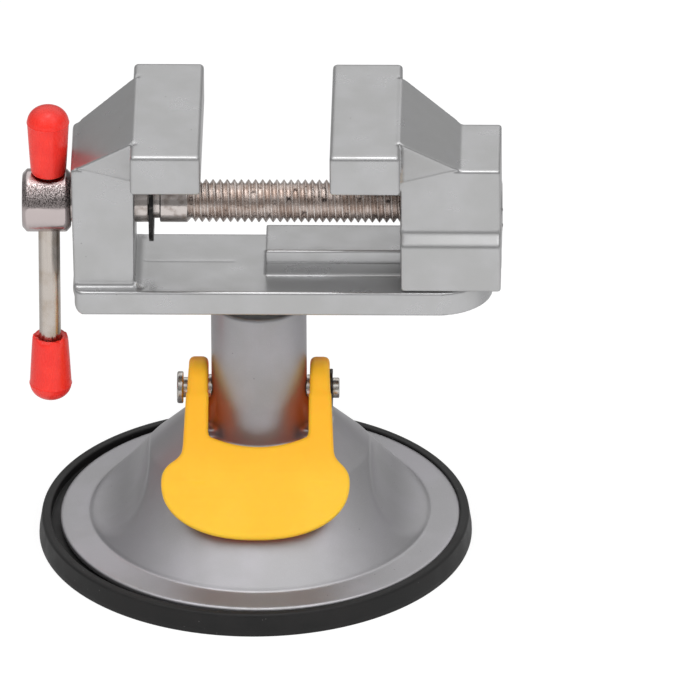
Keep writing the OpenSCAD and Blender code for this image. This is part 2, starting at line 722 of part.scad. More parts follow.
// Outline of the screw's thread: one ridge for each turn
function thread_ridges() = [for (i = [0:floor(thread_len / pitch) - 1], part = [0, 1])
  [part == 0 ? thread_r - thread_depth : thread_r, shank_end + pitch * (i + part / 2)]];

module lead_screw() color([0.62, 0.58, 0.55]) at_axis() translate([0, 0, screw_z]) difference() {
  rotate([0, 90, 0]) rotate_extrude() polygon(concat(
    [[0, head_left], [head_r - head_chamfer, head_left], [head_r, head_left + head_chamfer],
     [head_r, head_right - head_chamfer], [head_r - head_chamfer, head_right], [shank_r, head_right],
     [shank_r, groove_left], [groove_r, groove_left], [groove_r, groove_left + groove_w],
     [shank_r, groove_left + groove_w], [shank_r, shank_end - shank_chamfer]],
    thread_ridges(),
    [[thread_r - thread_depth, thread_end], [0, thread_end]]));
  translate([head_mid, 0, -head_r - cut]) cylinder(h = 2 * (head_r + cut), r = bar_r + running_gap);
}

module screw_clip() color([0.13, 0.13, 0.13]) at_axis()
  translate([groove_left + running_gap, 0, screw_z]) e_clip(clip_t, clip_r, groove_r);

module tommy_bar() color([0.78, 0.77, 0.75]) at_axis() translate([head_mid, 0, bar_bottom + cap_crown])
  cylinder(h = bar_len - 2 * cap_crown, r = bar_r);

// A cap that stands on its open end, with its domed end up
module bar_cap() {
  seam = cap_len - cap_dome_h;
  difference() {
    rotate_extrude() polygon(concat([[0, 0], [cap_mouth_r, 0], [cap_r, seam]],
      [for (i = [1:arc_steps]) let (a = 90 * i / arc_steps) [cap_r * cos(a), seam + cap_dome_h * sin(a)]]));
    translate([0, 0, -cut]) cylinder(h = cap_len - cap_crown + cut, r = bar_r);
  }
}

module upper_cap() color([0.93, 0.23, 0.2]) at_axis() translate([head_mid, 0, upper_cap_z]) bar_cap();

module lower_cap() color([0.93, 0.23, 0.2]) at_axis()
  translate([head_mid, 0, bar_bottom + cap_len]) mirror([0, 0, 1]) bar_cap();

base_housing();
suction_cup();
cup_diaphragm();
cup_stem();
release_spring();
locking_lever();
lever_pin();
lever_pin_clip();
left_spacer();
right_spacer();
swivel_bush();
swivel_washer();
swivel_lock_washer();
swivel_screw();
vise_body();
moving_jaw();
lead_screw();
screw_clip();
tommy_bar();
upper_cap();
lower_cap();
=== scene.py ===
import json
import math

import bpy
import numpy as np
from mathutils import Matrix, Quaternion, Vector


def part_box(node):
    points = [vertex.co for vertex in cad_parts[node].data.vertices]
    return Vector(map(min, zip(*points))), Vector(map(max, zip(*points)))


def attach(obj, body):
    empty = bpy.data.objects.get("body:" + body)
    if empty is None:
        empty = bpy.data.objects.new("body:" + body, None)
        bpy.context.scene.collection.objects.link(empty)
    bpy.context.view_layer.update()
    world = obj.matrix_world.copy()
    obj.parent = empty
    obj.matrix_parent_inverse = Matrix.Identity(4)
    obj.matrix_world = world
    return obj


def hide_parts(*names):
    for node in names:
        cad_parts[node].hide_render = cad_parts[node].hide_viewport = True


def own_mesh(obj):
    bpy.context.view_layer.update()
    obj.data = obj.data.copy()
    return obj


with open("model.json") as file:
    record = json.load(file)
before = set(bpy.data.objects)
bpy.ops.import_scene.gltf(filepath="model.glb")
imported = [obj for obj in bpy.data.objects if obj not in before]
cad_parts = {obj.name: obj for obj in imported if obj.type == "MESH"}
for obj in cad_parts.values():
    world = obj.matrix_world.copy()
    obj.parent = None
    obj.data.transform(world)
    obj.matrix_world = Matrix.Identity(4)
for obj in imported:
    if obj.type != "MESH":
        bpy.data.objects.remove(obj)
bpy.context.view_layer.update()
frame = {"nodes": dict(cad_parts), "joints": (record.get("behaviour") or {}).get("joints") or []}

# Shapes are worked out in millimetres, with x measured from the column's axis.
MM = 0.001
joints = {joint["name"]: joint for joint in frame["joints"]}
column_x = joints["swivel"]["pos_m"][0] / MM


def span(node):
    """Lowest and highest corner of a CAD node, in millimetres from the column's axis."""
    low, high = (np.array(corner) / MM - (column_x, 0, 0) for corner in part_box(node))
    return low, high


# Sizes of the castings that the frame's boxes don't give
edge_r = 0.8
block_r = 1.15
column_r = 12.15
column_rim_r = 0.8
dome_angle = 44.0
dome_wall = 2.6
scoop_r = 19.0
scoop_out = 4.0
flange_w = 7.7
bed_t = 6.45
jaw_half_w = 12.8
block_t = 17.8
block_h = 11.0
pin_r, pin_groove_r = 2.6, 2.1
pin_z = joints["lever_swing"]["pos_m"][2] / MM
lever_slope = 43.5


# Camera

photo_w = 700
picture_scale = 3.93
camera_distance = 9000.0
look_down = 28.75
look_turn = -1.18
look_roll = -0.36
aim_right = 23.15
aim_z = 52.7


def make_camera():
    """A long lens at the photograph's angle: the view is photo_w / picture_scale millimetres wide."""
    turn, down = math.radians(look_turn), math.radians(look_down)
    look = Vector((math.sin(turn) * math.cos(down), math.cos(turn) * math.cos(down), -math.sin(down)))
    right = Vector((math.cos(turn), -math.sin(turn), 0))
    aim = Vector((column_x, 0, aim_z)) + right * aim_right
    camera = bpy.data.objects.new("camera", bpy.data.cameras.new("camera"))
    camera.data.sensor_width = 36
    camera.data.lens = camera.data.sensor_width * camera_distance * picture_scale / photo_w
    camera.data.clip_end = 100
    camera.location = (aim - look * camera_distance) * MM
    roll = Quaternion((0, 0, 1), math.radians(look_roll))
    camera.rotation_euler = (look.to_track_quat("-Z", "Y") @ roll).to_euler()
    bpy.context.scene.collection.objects.link(camera)
    bpy.context.scene.camera = camera


make_camera()


# Mesh tools

def new_piece(name, points, faces, body, replaced=()):
    """A piece from points in millimetres and arrays of faces, smooth, riding on a CAD body."""
    mesh = bpy.data.meshes.new(name)
    placed = (np.asarray(points, float) + (column_x, 0, 0)) * MM
    corners = np.concatenate([part.ravel() for part in faces])
    sides = np.concatenate([np.full(len(part), part.shape[1]) for part in faces])
    mesh.vertices.add(len(placed))
    mesh.vertices.foreach_set("co", placed.astype(np.float32).ravel())
    mesh.loops.add(len(corners))
    mesh.loops.foreach_set("vertex_index", corners.astype(np.int32))
    mesh.polygons.add(len(sides))
    mesh.polygons.foreach_set("loop_start", (np.cumsum(sides) - sides).astype(np.int32))
    mesh.update(calc_edges=True)
    mesh.validate()
    mesh.shade_smooth()
    piece = bpy.data.objects.new(name, mesh)
    bpy.context.scene.collection.objects.link(piece)
    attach(piece, body)
    if replaced:
        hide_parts(*replaced)
    return piece


def ring_quads(rows, columns, closed=False):
    """Quads of a grid of rows whose columns close into a ring, and whose last row may join the first."""
    i = np.arange(rows if closed else rows - 1)[:, None]
    j = np.arange(columns)[None, :]
    j_next, i_next = (j + 1) % columns, (i + 1) % rows
    corners = [i * columns + j, i * columns + j_next, i_next * columns + j_next, i_next * columns + j]
    return np.stack(corners, -1).reshape(-1, 4)


def revolved(radius, height, turns, closed=False):
    """Points and faces of a surface (r cos a, r sin a, h), where radius and height are arrays of rows by
    turns or of rows alone. Unless the rows close on themselves, a point on the axis caps each end."""
    angle = np.linspace(0, 2 * np.pi, turns, endpoint=False)[None, :]
    rows = len(radius)
    radius = np.broadcast_to(np.reshape(radius, (rows, -1)), (rows, turns))
    height = np.broadcast_to(np.reshape(height, (rows, -1)), (rows, turns))
    grid = np.stack([radius * np.cos(angle), radius * np.sin(angle), height], -1).reshape(-1, 3)
    quads = ring_quads(rows, turns, closed)
    if closed:
        return grid, [quads]
    j = np.arange(turns)
    last = (rows - 1) * turns
    poles = np.array([[0, 0, height[0].mean()], [0, 0, height[-1].mean()]])
    start = np.stack([np.full(turns, len(grid)), (j + 1) % turns, j], -1)
    end = np.stack([np.full(turns, len(grid) + 1), last + j, last + (j + 1) % turns], -1)
    return np.concatenate([grid, poles]), [quads, start, end]


def along_x(points, x, z):
    """Turns points made about the z axis so that their axis lies along x, through height z."""
    return np.stack([points[:, 2] + x, points[:, 0], points[:, 1] + z], -1)


def rounded(corners, steps=6, margin=0.12):
    """A path of (r, z) through corners given as (r, z, radius). Each corner becomes an arc that is
    tangent to its two sides, and a point a small margin from each arc keeps the sides flat when shaded."""
    path = []
    for k, (r, z, radius) in enumerate(corners):
        here = np.array([r, z], float)
        if radius == 0 or k in (0, len(corners) - 1):
            path.append(here)
            continue
        before = np.array(corners[k - 1][:2], float) - here
        after = np.array(corners[k + 1][:2], float) - here
        one, two = before / np.linalg.norm(before), after / np.linalg.norm(after)
        half = math.acos(np.clip(one @ two, -1, 1)) / 2
        reach = radius / math.tan(half)
        centre = here + (one + two) / np.linalg.norm(one + two) * radius / math.sin(half)
        start, stop = here + one * reach, here + two * reach
        path.append(here + one * (reach + margin))
        a0, a1 = (math.atan2(p[1] - centre[1], p[0] - centre[0]) for p in (start, stop))
        sweep = (a1 - a0 + math.pi) % (2 * math.pi) - math.pi
        for share in np.linspace(0, 1, steps + 1):
            a = a0 + sweep * share
            path.append(centre + radius * np.array([math.cos(a), math.sin(a)]))
        path.append(here + two * (reach + margin))
    return np.array(path).T


# Distance fields: each gives, in millimetres, how far places lie outside a shape, less than 0 inside

def soft_max(a, b, width):
    """The larger of two distances, with the edge where they meet rounded over a width."""
    near = np.maximum(width - np.abs(a - b), 0)
    return np.maximum(a, b) + near * near / (4 * width)


def soft_min(a, b, width):
    """The smaller of two distances, with a fillet of about that width where they meet."""
    return -soft_max(-a, -b, width)


def pillar(plan, along, low, high, r):
    """A plan's distance carried from low to high along an axis, with its end edges rounded to r."""
    side = plan + r
    end = np.abs(along - (low + high) / 2) - (high - low) / 2 + r
    outside = np.hypot(np.maximum(side, 0), np.maximum(end, 0))
    return outside + np.minimum(np.maximum(side, end), 0) - r


def oblong(x, y, low, high, r):
    """A rectangle from low to high in the plane, with corners rounded to r."""
    a = np.abs(x - (low[0] + high[0]) / 2) - (high[0] - low[0]) / 2 + r
    b = np.abs(y - (low[1] + high[1]) / 2) - (high[1] - low[1]) / 2 + r
    return np.hypot(np.maximum(a, 0), np.maximum(b, 0)) + np.minimum(np.maximum(a, b), 0) - r


def block(x, y, z, low, high, r):
    """A box from low to high with all edges rounded to r."""
    return pillar(oblong(x, y, low[:2], high[:2], r), z, low[2], high[2], r)


def half_space(x, y, z, a, b, c):
    """Distance above the plane through points a, b and c, which run anticlockwise seen from above it."""
    normal = np.cross(np.subtract(b, a), np.subtract(c, a))
    normal = normal / np.linalg.norm(normal)
    return (x - a[0]) * normal[0] + (y - a[1]) * normal[1] + (z - a[2]) * normal[2]


def segment(x, y, z, start, end):
    """Distance to a straight stretch: to the nearest point start + share * (end - start)."""
    along = np.subtract(end, start)
    share = (x - start[0]) * along[0] + (y - start[1]) * along[1] + (z - start[2]) * along[2]
    share = np.clip(share / (along @ along), 0, 1)
    parts = [value - start[k] - share * along[k] for k, value in enumerate((x, y, z))]
    return np.sqrt(parts[0] ** 2 + parts[1] ** 2 + parts[2] ** 2)


def outline(x, y, points):
    """Distance to a polygon: the least distance to its sides, less than 0 where a line crosses an odd
    number of them."""
    nearest = np.full(np.broadcast(x, y).shape, 1e9)
    inside = np.zeros(nearest.shape, bool)
    for (ax, ay), (bx, by) in zip(points, np.roll(points, -1, axis=0)):
        ex, ey = bx - ax, by - ay
        share = np.clip(((x - ax) * ex + (y - ay) * ey) / (ex * ex + ey * ey), 0, 1)
        nearest = np.minimum(nearest, (x - ax - share * ex) ** 2 + (y - ay - share * ey) ** 2)
        if ay != by:
            crosses = ((ay > y) != (by > y)) & (x < ax + (y - ay) * ex / ey)
            inside ^= crosses
    return np.where(inside, -1, 1) * np.sqrt(nearest)


def skin(field, low, high, step):
    """Points and quads of the surface where a field is 0. On a grid, every cell that the surface passes
    gets one point, the mean of its crossings with the cell's edges, and every crossed edge gets the quad
    of its four cells. The points then slide onto the surface: p - field * gradient / gradient squared."""
    sides = [np.arange(low[k], high[k] + step, step) for k in range(3)]
    shape = tuple(len(side) for side in sides)
    value = np.broadcast_to(field(*np.meshgrid(*sides, indexing="ij", sparse=True)), shape)
    quads, crossings = [], []
    for axis in range(3):
        lower, upper = [slice(None)] * 3, [slice(None)] * 3
        lower[axis], upper[axis] = slice(0, -1), slice(1, None)
        first, second = value[tuple(lower)], value[tuple(upper)]
        edge = np.argwhere((first < 0) != (second < 0))
        a, b = first[tuple(edge.T)], second[tuple(edge.T)]
        crossing = edge.astype(float)
        crossing[:, axis] += a / (a - b)
        around = []
        for du, dv in ((-1, -1), (0, -1), (0, 0), (-1, 0)):
            cell = edge.copy()
            cell[:, (axis + 1) % 3] += du
            cell[:, (axis + 2) % 3] += dv
            around.append(np.ravel_multi_index(cell.T, shape))
        quad = np.stack(around, -1)
        quads.append(np.where((a < 0)[:, None], quad, quad[:, ::-1]))
        crossings.append(np.repeat(crossing, 4, axis=0).reshape(-1, 4, 3))
    quads, crossings = np.concatenate(quads), np.concatenate(crossings).reshape(-1, 3)
    cells, owner = np.unique(quads, return_inverse=True)
    owner = owner.ravel()
    count = np.bincount(owner)
    mean = np.stack([np.bincount(owner, crossings[:, k]) / count for k in range(3)], -1)
    points = np.array(low) + step * mean
    return settled(field, points, step), owner.reshape(-1, 4)


def settled(field, points, step):
    """Points moved onto the surface of a field, none by more than half a step at a time."""
    probe = step / 20
    for _ in range(2):
        value = field(*points.T)
        slope = []
        for k in range(3):
            ahead, behind = points.copy(), points.copy()
            ahead[:, k] += probe
            behind[:, k] -= probe
            slope.append((field(*ahead.T) - field(*behind.T)) / (2 * probe))
        slope = np.stack(slope, -1)
        move = slope * (value / np.maximum((slope**2).sum(-1), 0.05))[:, None]
        length = np.linalg.norm(move, axis=-1, keepdims=True)
        points = points - move * np.minimum(1, step / 2 / np.maximum(length, 1e-9))
    return points


# Base housing

housing_low, housing_high = span("base_housing")
disc_r = housing_high[0]
ledge_z = housing_low[2]
column_top = housing_high[2]
flange_edge_z = ledge_z + 1.6
bead_r = disc_r - flange_w
bead_z = flange_edge_z + 0.7
dome_foot_z = bead_z + 0.3
scoop_x = bead_r + scoop_out
scoop_z = dome_foot_z + 0.2 + math.sqrt(scoop_r**2 - scoop_out**2)
spring_seat_z = 30.0
web_z, web_top = column_top - 13.1, column_top - 9.6
lever_low, lever_high = span("locking_lever")
arm_inner, arm_outer = 12.95, 17.9
pad_z, pad_half = 34.0, 8.0
lock_lift = 3.0
shoulder, shoulder_rise = 4.2, 18.5
foot_z, flare_z, flare_share = 32.0, 41.0, 0.02
foot_lap = 4.0
pocket_y = -5.0
pad_foot, pad_lap = 15.0, 2.0
room_gap, room_end_gap = 0.4, 0.5
stem_bore_r, spring_bore_r, screw_bore_r, bush_bore_r = 5.85, 9.9, 2.8, 9.3
pin_gap = 0.05
housing_step = 0.56


def housing_field(x, y, z):
    """A flat flange, a cone that widens to a shoulder at each side with a scoop below it, a column with
    a round rim and a pad on each side of it, less the hollow under the cone, the room for the arms, the
    pocket in front of the column and the bores. The cone's plan is an oval: its half width along x is
    more than along y by a share of the rise. The column's foot flares by a share of the drop squared."""
    r = np.hypot(x, y)
    tilt = math.radians(dome_angle)
    flange_slope = (bead_z - flange_edge_z) / flange_w
    flange_top = z - flange_edge_z - (disc_r - r) * flange_slope
    flange = soft_max(soft_max(r - disc_r, flange_top, 0.7), ledge_z - z, 0.3)
    reach = np.maximum(bead_r - (z - dome_foot_z) / math.tan(tilt), 5)
    wider = shoulder * np.clip((z - dome_foot_z) / shoulder_rise, 0, 1)
    oval = np.hypot(x * reach / (reach + wider), y)
    cone = (z - dome_foot_z - (bead_r - oval) * math.tan(tilt)) * math.cos(tilt)
    scoop = scoop_r - np.hypot(np.abs(x) - scoop_x, z - scoop_z)
    dome = soft_max(soft_max(cone, scoop, 0.7), r - bead_r, 0.4)
    dome = np.maximum(dome, ledge_z - z)
    column = pillar(r - column_r, z, ledge_z, column_top, column_rim_r)
    column = np.where(z < column_top - 2 * column_rim_r, r - column_r, column)
    drop = np.clip(flare_z - z, 0, flare_z - foot_z)
    flare = (r - column_r - flare_share * drop * drop) / np.sqrt(1 + (2 * flare_share * drop) ** 2)
    flare = np.maximum(flare, foot_z - foot_lap - z)
    column = np.minimum(column, np.maximum(flare, z - flare_z))
    room = block(np.abs(x), y, z, (arm_inner - room_gap, -pad_half - room_end_gap, pad_z),
                 (arm_outer + room_gap, pad_half + room_end_gap, column_top), 0.3)
    dome = soft_max(dome, -room, 0.4)
    between = soft_max(soft_max(np.abs(x) - arm_inner + 0.1, y - pocket_y, 0.4), foot_z - z, 0.6)
    dome = soft_max(dome, -between, 0.5)
    pads = block(np.abs(x), y, z, (column_r - pad_lap, -pad_half, ledge_z + pad_foot),
                 (arm_outer, pad_half, pad_z), 0.5)
    fillet = 2.3 - 1.7 * np.clip(pocket_y - y, 0, 1) * np.clip(arm_inner + 1 - np.abs(x), 0, 1)
    outside = soft_min(soft_min(dome, column, fillet), flange, 0.5)
    outside = soft_min(outside, pads, 0.8)
    hollow = np.maximum(np.maximum(cone + dome_wall, scoop + dome_wall), z - spring_seat_z)
    hollow = np.maximum(hollow, r - bead_r + dome_wall / math.sin(tilt))
    bore = np.maximum(r - stem_bore_r, z - web_z)
    bore = np.minimum(bore, np.maximum(r - spring_bore_r, z - spring_seat_z))
    bore = np.minimum(bore, r - screw_bore_r)
    bore = np.minimum(bore, np.maximum(r - bush_bore_r, web_top - z))
    slot_z = z - np.clip(z, pin_z - lock_lift, pin_z)
    bore = np.minimum(bore, np.hypot(y, slot_z) - pin_r - pin_gap)
    return np.maximum(outside, -np.minimum(hollow, bore))


def make_housing():
    """The base casting: the surface where its field is 0."""
    margin = 1.5
    points, quads = skin(housing_field, (-disc_r - margin, -disc_r - margin, ledge_z - margin),
                         (disc_r + margin, disc_r + margin, column_top + margin), housing_step)
    return new_piece("housing_casting", points, [quads], "base", ["base_housing"])


# Vise body and moving jaw

body_low, body_high = span("vise_body")
slide_low, slide_high = span("moving_jaw")
block_top = body_high[2]
block_z = block_top - block_h
block_half_w = body_high[1] + 0.6
jaw_top = block_z + 0.45
screw_z = joints["screw_turn"]["pos_m"][2] / MM
bed_top = screw_z - 18.1
gusset_half_w = 18.1
bed_z = bed_top - bed_t
bed_left, bed_right = -46.4, body_high[0]
bed_half_w = 15.8
jaw_left, jaw_right = body_low[0] + 0.3, -31.15
fixed_grip = -14.0
moving_grip = slide_low[0] + 0.45
slide_left, slide_right = moving_grip + block_t - 0.1, slide_high[0] - 0.3
skirt_half_w = 15.6
jaw_draft = 0.6
rail_left, rail_right = 2.0, bed_right - 1.6
boss_len = 10.0
rail_half_w, neck_half_w = 7.1, 6.5
rail_under, rail_over = 3.8, 7.4
skirt_h, shelf_h = 18.0, 13.6
spigot_r, spigot_thread_r, spigot_thread_len = 8.0, 2.5, 10.0
body_bore_r, slide_bore_r = 5.55, 5.45
seam_depth, seam_w = 0.42, 0.58
mark_r, mark_up, mark_w, mark_depth = 2.8, 5.4, 0.4, 0.07
line_y, line_left, line_right, line_w, line_depth = 1.2, -28.5, -6.5, 0.35, 0.15
crumb_r, crumb_ring_r, crumb_turns = 0.6, 6, (172, 240)
casting_step = 0.44


def t_section(y, z, gap):
    """The rail's section: a head over a narrower neck, grown by a gap."""
    head = oblong(y, z, (-rail_half_w - gap, bed_top + rail_under - gap),
                  (rail_half_w + gap, bed_top + rail_over + gap), 0.35)
    neck = oblong(y, z, (-neck_half_w - gap, bed_top - 3), (neck_half_w + gap, bed_top + 5), 0.3)
    return np.minimum(head, neck)


def grip_field(x, y, z, grip, root, tip):
    """A jaw's block and the gusset behind it. x runs from the tip towards the grip face: the gusset's
    sloping top and its two leaning sides meet at the block's back face. A groove along the seams and
    the faint ring of a moulding mark follow exp(-(distance / width) squared)."""
    jaw = block(x, y, z, (grip - block_t, -block_half_w, block_z - 3),
                (grip, block_half_w, block_top), block_r)
    jaw = soft_max(jaw, block_z - z, 0.9)
    high, low = block_top + 0.1, jaw_top - 4
    side = np.abs(y)
    top = half_space(x, side, z, (tip, 0, jaw_top), (root, 0, high), (tip, 5, jaw_top))
    wall = half_space(x, side, z, (tip, jaw_half_w, jaw_top), (root, gusset_half_w, high),
                      (root, jaw_half_w, low))
    wedge = soft_max(soft_max(top, wall, 0.6), np.maximum(x - root - 0.5, tip - x), 0.2)
    lap = block(x, y, z, (grip - block_t, -jaw_half_w, low), (root + 0.7, jaw_half_w, block_z + 2), 0.3)
    wedge = np.maximum(wedge, jaw_top - 8 - z)
    grip_all = np.minimum(soft_min(jaw, lap, 0.4), wedge)
    seams = np.minimum(segment(x, side, z, (tip + 1, jaw_half_w, jaw_top - 0.2), (root, jaw_half_w, low)),
                       segment(x, side, z, (root + 0.1, jaw_half_w, low), (root + 0.1, gusset_half_w, high)))
    seam = seam_depth * np.exp(-((seams / seam_w) ** 2))
    mark = np.hypot(x - grip + block_t / 2, z - block_z - mark_up) - mark_r
    mark = mark_depth * np.exp(-((mark / mark_w) ** 2)) * (y < 0)
    return grip_all + seam - mark


def body_field(x, y, z):
    """The bed with its spigot, the fixed jaw with a fillet round its foot, its block and the rail. A
    fine line runs along the bed's floor, and the screw's bore and the spigot's thread are cut."""
    corner = np.where(x > 0, 14.0, 2.4)
    a = np.abs(x - (bed_left + bed_right) / 2) - (bed_right - bed_left) / 2 + corner
    b = np.abs(y) - bed_half_w + corner
    plan = np.hypot(np.maximum(a, 0), np.maximum(b, 0)) + np.minimum(np.maximum(a, b), 0) - corner
    bed = soft_max(pillar(plan, z, bed_z - 3, bed_top, 0.6), bed_z - z, 0.4)
    toe = np.hypot(np.maximum(bed_left + 2.5 - x, 0), np.maximum(bed_z + 2.5 - z, 0)) - 2.5
    bed = np.maximum(bed, toe)
    jaw = block(x, y, z, (jaw_left - 5, -jaw_half_w, bed_top - 2), (jaw_right, jaw_half_w, jaw_top), edge_r)
    lean = jaw_left + jaw_draft * (jaw_top - z) / (jaw_top - bed_top) - x
    jaw = soft_max(jaw, lean, 1.4)
    body = soft_min(bed, jaw, 1.3 + 2.2 * np.clip(x - jaw_right + 0.5, 0, 1))
    rail = pillar(t_section(y, z, 0), x, rail_left, rail_right, 0.35)
    body = soft_min(body, rail, 0.9)
    body = soft_min(body, grip_field(x, y, z, fixed_grip, jaw_right, jaw_left + 1), 0.3)
    line = segment(x, y, z, (line_left, line_y, bed_top), (line_right, line_y, bed_top))
    body = body + line_depth * np.exp(-((line / line_w) ** 2))
    spigot = np.maximum(np.hypot(x, y) - spigot_r, body_low[2] - z)
    body = soft_min(body, np.maximum(spigot, z - bed_top + 1), 0.8)
    bore = np.maximum(np.hypot(y, z - screw_z) - body_bore_r, x + 20)
    thread = np.maximum(np.hypot(x, y) - spigot_thread_r, z - body_low[2] - spigot_thread_len)
    body = soft_max(body, -bore, 0.5)
    return np.maximum(body, -thread)


def slide_field(x, y, z):
    """The moving jaw: a narrow body over a wide skirt with a sloping shelf, its block and gusset, less
    the slot that runs on the rail and the screw's bore. Small crumbs of metal sit on the bore's rim."""
    upper = block(x, y, z, (slide_left, -jaw_half_w, bed_top + 5), (slide_right, jaw_half_w, jaw_top), edge_r)
    low = bed_top + 0.25
    skirt = block(x, y, z, (slide_left, -skirt_half_w, low),
                  (slide_right, skirt_half_w, bed_top + skirt_h), edge_r)
    shelf = (z - bed_top - shelf_h + np.abs(y) - skirt_half_w + 0.3) * math.sqrt(0.5)
    skirt = soft_max(skirt, shelf, 0.7)
    body = soft_min(upper, skirt, 0.7)
    tip = slide_right - boss_len
    grip = grip_field(-x, y, z, -moving_grip, -slide_left, -tip)
    body = soft_min(body, grip, 0.3)
    slot = np.maximum(t_section(y, z, 0.25), -z + bed_top - 2)
    bore = np.maximum(np.hypot(y, z - screw_z) - slide_bore_r, moving_grip + 10 - x)
    body = soft_max(body, -slot, 0.4)
    body = soft_max(body, -bore, 0.5)
    for turn in crumb_turns:
        cy, cz = crumb_ring_r * math.cos(math.radians(turn)), crumb_ring_r * math.sin(math.radians(turn))
        crumb = np.sqrt((x - slide_right) ** 2 + (y - cy) ** 2 + (z - screw_z - cz) ** 2) - crumb_r
        body = soft_min(body, crumb, 0.3)
    return body


def make_castings():
    """The vise's body and its moving jaw: the surfaces where their fields are 0."""
    margin = 1.5
    points, quads = skin(body_field, body_low - margin, body_high + margin, casting_step)
    body = new_piece("vise_casting", points, [quads], "vise", ["vise_body"])
    points, quads = skin(slide_field, slide_low - margin, slide_high + margin, casting_step)
    slide = new_piece("jaw_casting", points, [quads], "moving_jaw", ["moving_jaw"])
    return body, slide


# Locking lever, worked out along its slope: u runs down from the pin, and h stands on the slope

arm_end_r = 7.9
lock_reach = 8.0
cam_gap = 0.1
paddle_half_w, paddle_shift = 24.0, -0.6
paddle_mid, paddle_end, paddle_shoulder = 27.7, 15.15, 9.4
paddle_root, root_arc_r = 18.05, 29.2
paddle_t = 2.3
arm_depth = 5.2
arm_flare, flare_lead = 1.1, 4
paddle_power, shoulder_power = 2.2, 2.5
strip_mid, strip_half = 16, 12
ridge_first, ridge_last, ridges, ridge_w, ridge_h = 20.5, 39.5, 9, 0.5, 0.05


def arm_points():
    """The arm's side outline as in the frame: round end, cam, cam flat and the bar to the paddle. The
    cam's reach at an angle is the least over the swing t of (pad distance at t) / cos(angle - t)."""
    slope = math.radians(lever_slope)
    swing = np.radians(np.arange(0, 71, 2.5))
    angle = np.radians(np.arange(180 + lever_slope, -11, -2.5))[:, None]
    facing = np.cos(angle - swing)
    depth = lock_reach - cam_gap - lock_lift * swing / swing[-1]
    reach = np.where(facing > 0.26, depth / np.maximum(facing, 0.26), arm_end_r).min(1)
    reach = np.minimum(reach, arm_end_r)
    flat = cam_gap - lock_reach
    level = np.stack([reach * np.sin(angle[:, 0]), -reach * np.cos(angle[:, 0])], -1)
    level = np.concatenate([level, [[flat * math.tan(math.radians(20)), flat], [-pad_half, flat]]])
    u = -level[:, 0] * math.cos(slope) - level[:, 1] * math.sin(slope)
    h = level[:, 1] * math.cos(slope) - level[:, 0] * math.sin(slope)
    bar = [[paddle_root, arm_end_r - arm_depth], [paddle_mid, arm_end_r - paddle_t / 2],
           [paddle_mid, arm_end_r]]
    return np.concatenate([np.stack([u, h], -1), bar])


arm_shape = arm_points()


def superellipse(x, y, half_w, length, power):
    """Near distance to |x / half_w|^p + |y / length|^p = 1: the excess over 1 by its own slope."""
    a, b = np.abs(x) / half_w + 1e-6, np.abs(y) / length + 1e-6
    total = a**power + b**power
    slope = total ** (1 / power - 1) * np.hypot(a ** (power - 1) / half_w, b ** (power - 1) / length)
    return (total ** (1 / power) - 1) / slope


def lever_field(x, u, h):
    """Two arms with round ends and cams, and a paddle with a hollow root edge and a row of low ridges,
    each ridge_h * exp(-(distance / ridge_w) squared)."""
    side = np.abs(x)
    flare = arm_flare * np.clip((u + flare_lead) / (paddle_root + flare_lead), 0, 1)
    middle, half = (arm_inner + arm_outer + flare) / 2, (arm_outer + flare - arm_inner) / 2
    arm_side = np.abs(side - middle) - half
    arms = soft_max(outline(u, h, arm_shape), arm_side, 1.7)
    v = u - paddle_mid
    across = x - paddle_shift
    lobe = np.where(v > 0, superellipse(across, v, paddle_half_w, paddle_end, paddle_power),
                    superellipse(across, v, paddle_half_w, paddle_shoulder, shoulder_power))
    strip = np.maximum(side - middle - half, np.abs(u - strip_mid) - strip_half)
    root = root_arc_r - np.hypot(x, u - paddle_root + root_arc_r)
    open_side = soft_min(root, arm_inner - side, 1.2)
    plan = np.maximum(soft_min(lobe, strip, 3.0), open_side)
    ridge = sum(np.exp(-(((u - at) / ridge_w) ** 2)) for at in np.linspace(ridge_first, ridge_last, ridges))
    top = arm_end_r - ridge_h + ridge_h * ridge
    paddle = soft_max(soft_max(plan, h - top, 1.3), arm_end_r - paddle_t - h, 1.0)
    lever = soft_min(arms, paddle, 0.8)
    return np.maximum(lever, pin_r + pin_gap - np.hypot(u, h))


def make_lever():
    """The lever's surface found on its slope and then turned into place: y = -u cos s - h sin s and
    z = -u sin s + h cos s above the pin, where s is the slope."""
    low = (-paddle_half_w - 1.5, -arm_end_r - 1.5, -arm_end_r - 1.5)
    high = (paddle_half_w + 1.5, paddle_mid + paddle_end + 1.5, arm_end_r + 1.5)
    points, quads = skin(lever_field, low, high, 0.42)
    x, u, h = points.T
    slope = math.radians(lever_slope)
    y = -u * math.cos(slope) - h * math.sin(slope)
    z = -u * math.sin(slope) + h * math.cos(slope) + pin_z
    return new_piece("lever_moulding", np.stack([x, y, z], -1), [quads[:, ::-1]], "lever",
                     ["locking_lever"])


# Rubber cup

cup_low, cup_high = span("suction_cup")
cup_r, cup_h = cup_high[0] + 0.2, cup_high[2]
cup_shift = 1.2
ring_in_r, middle_r, middle_slope_w = 40, 39.98, 29
middle_rise, middle_t = 3.6, 2.2


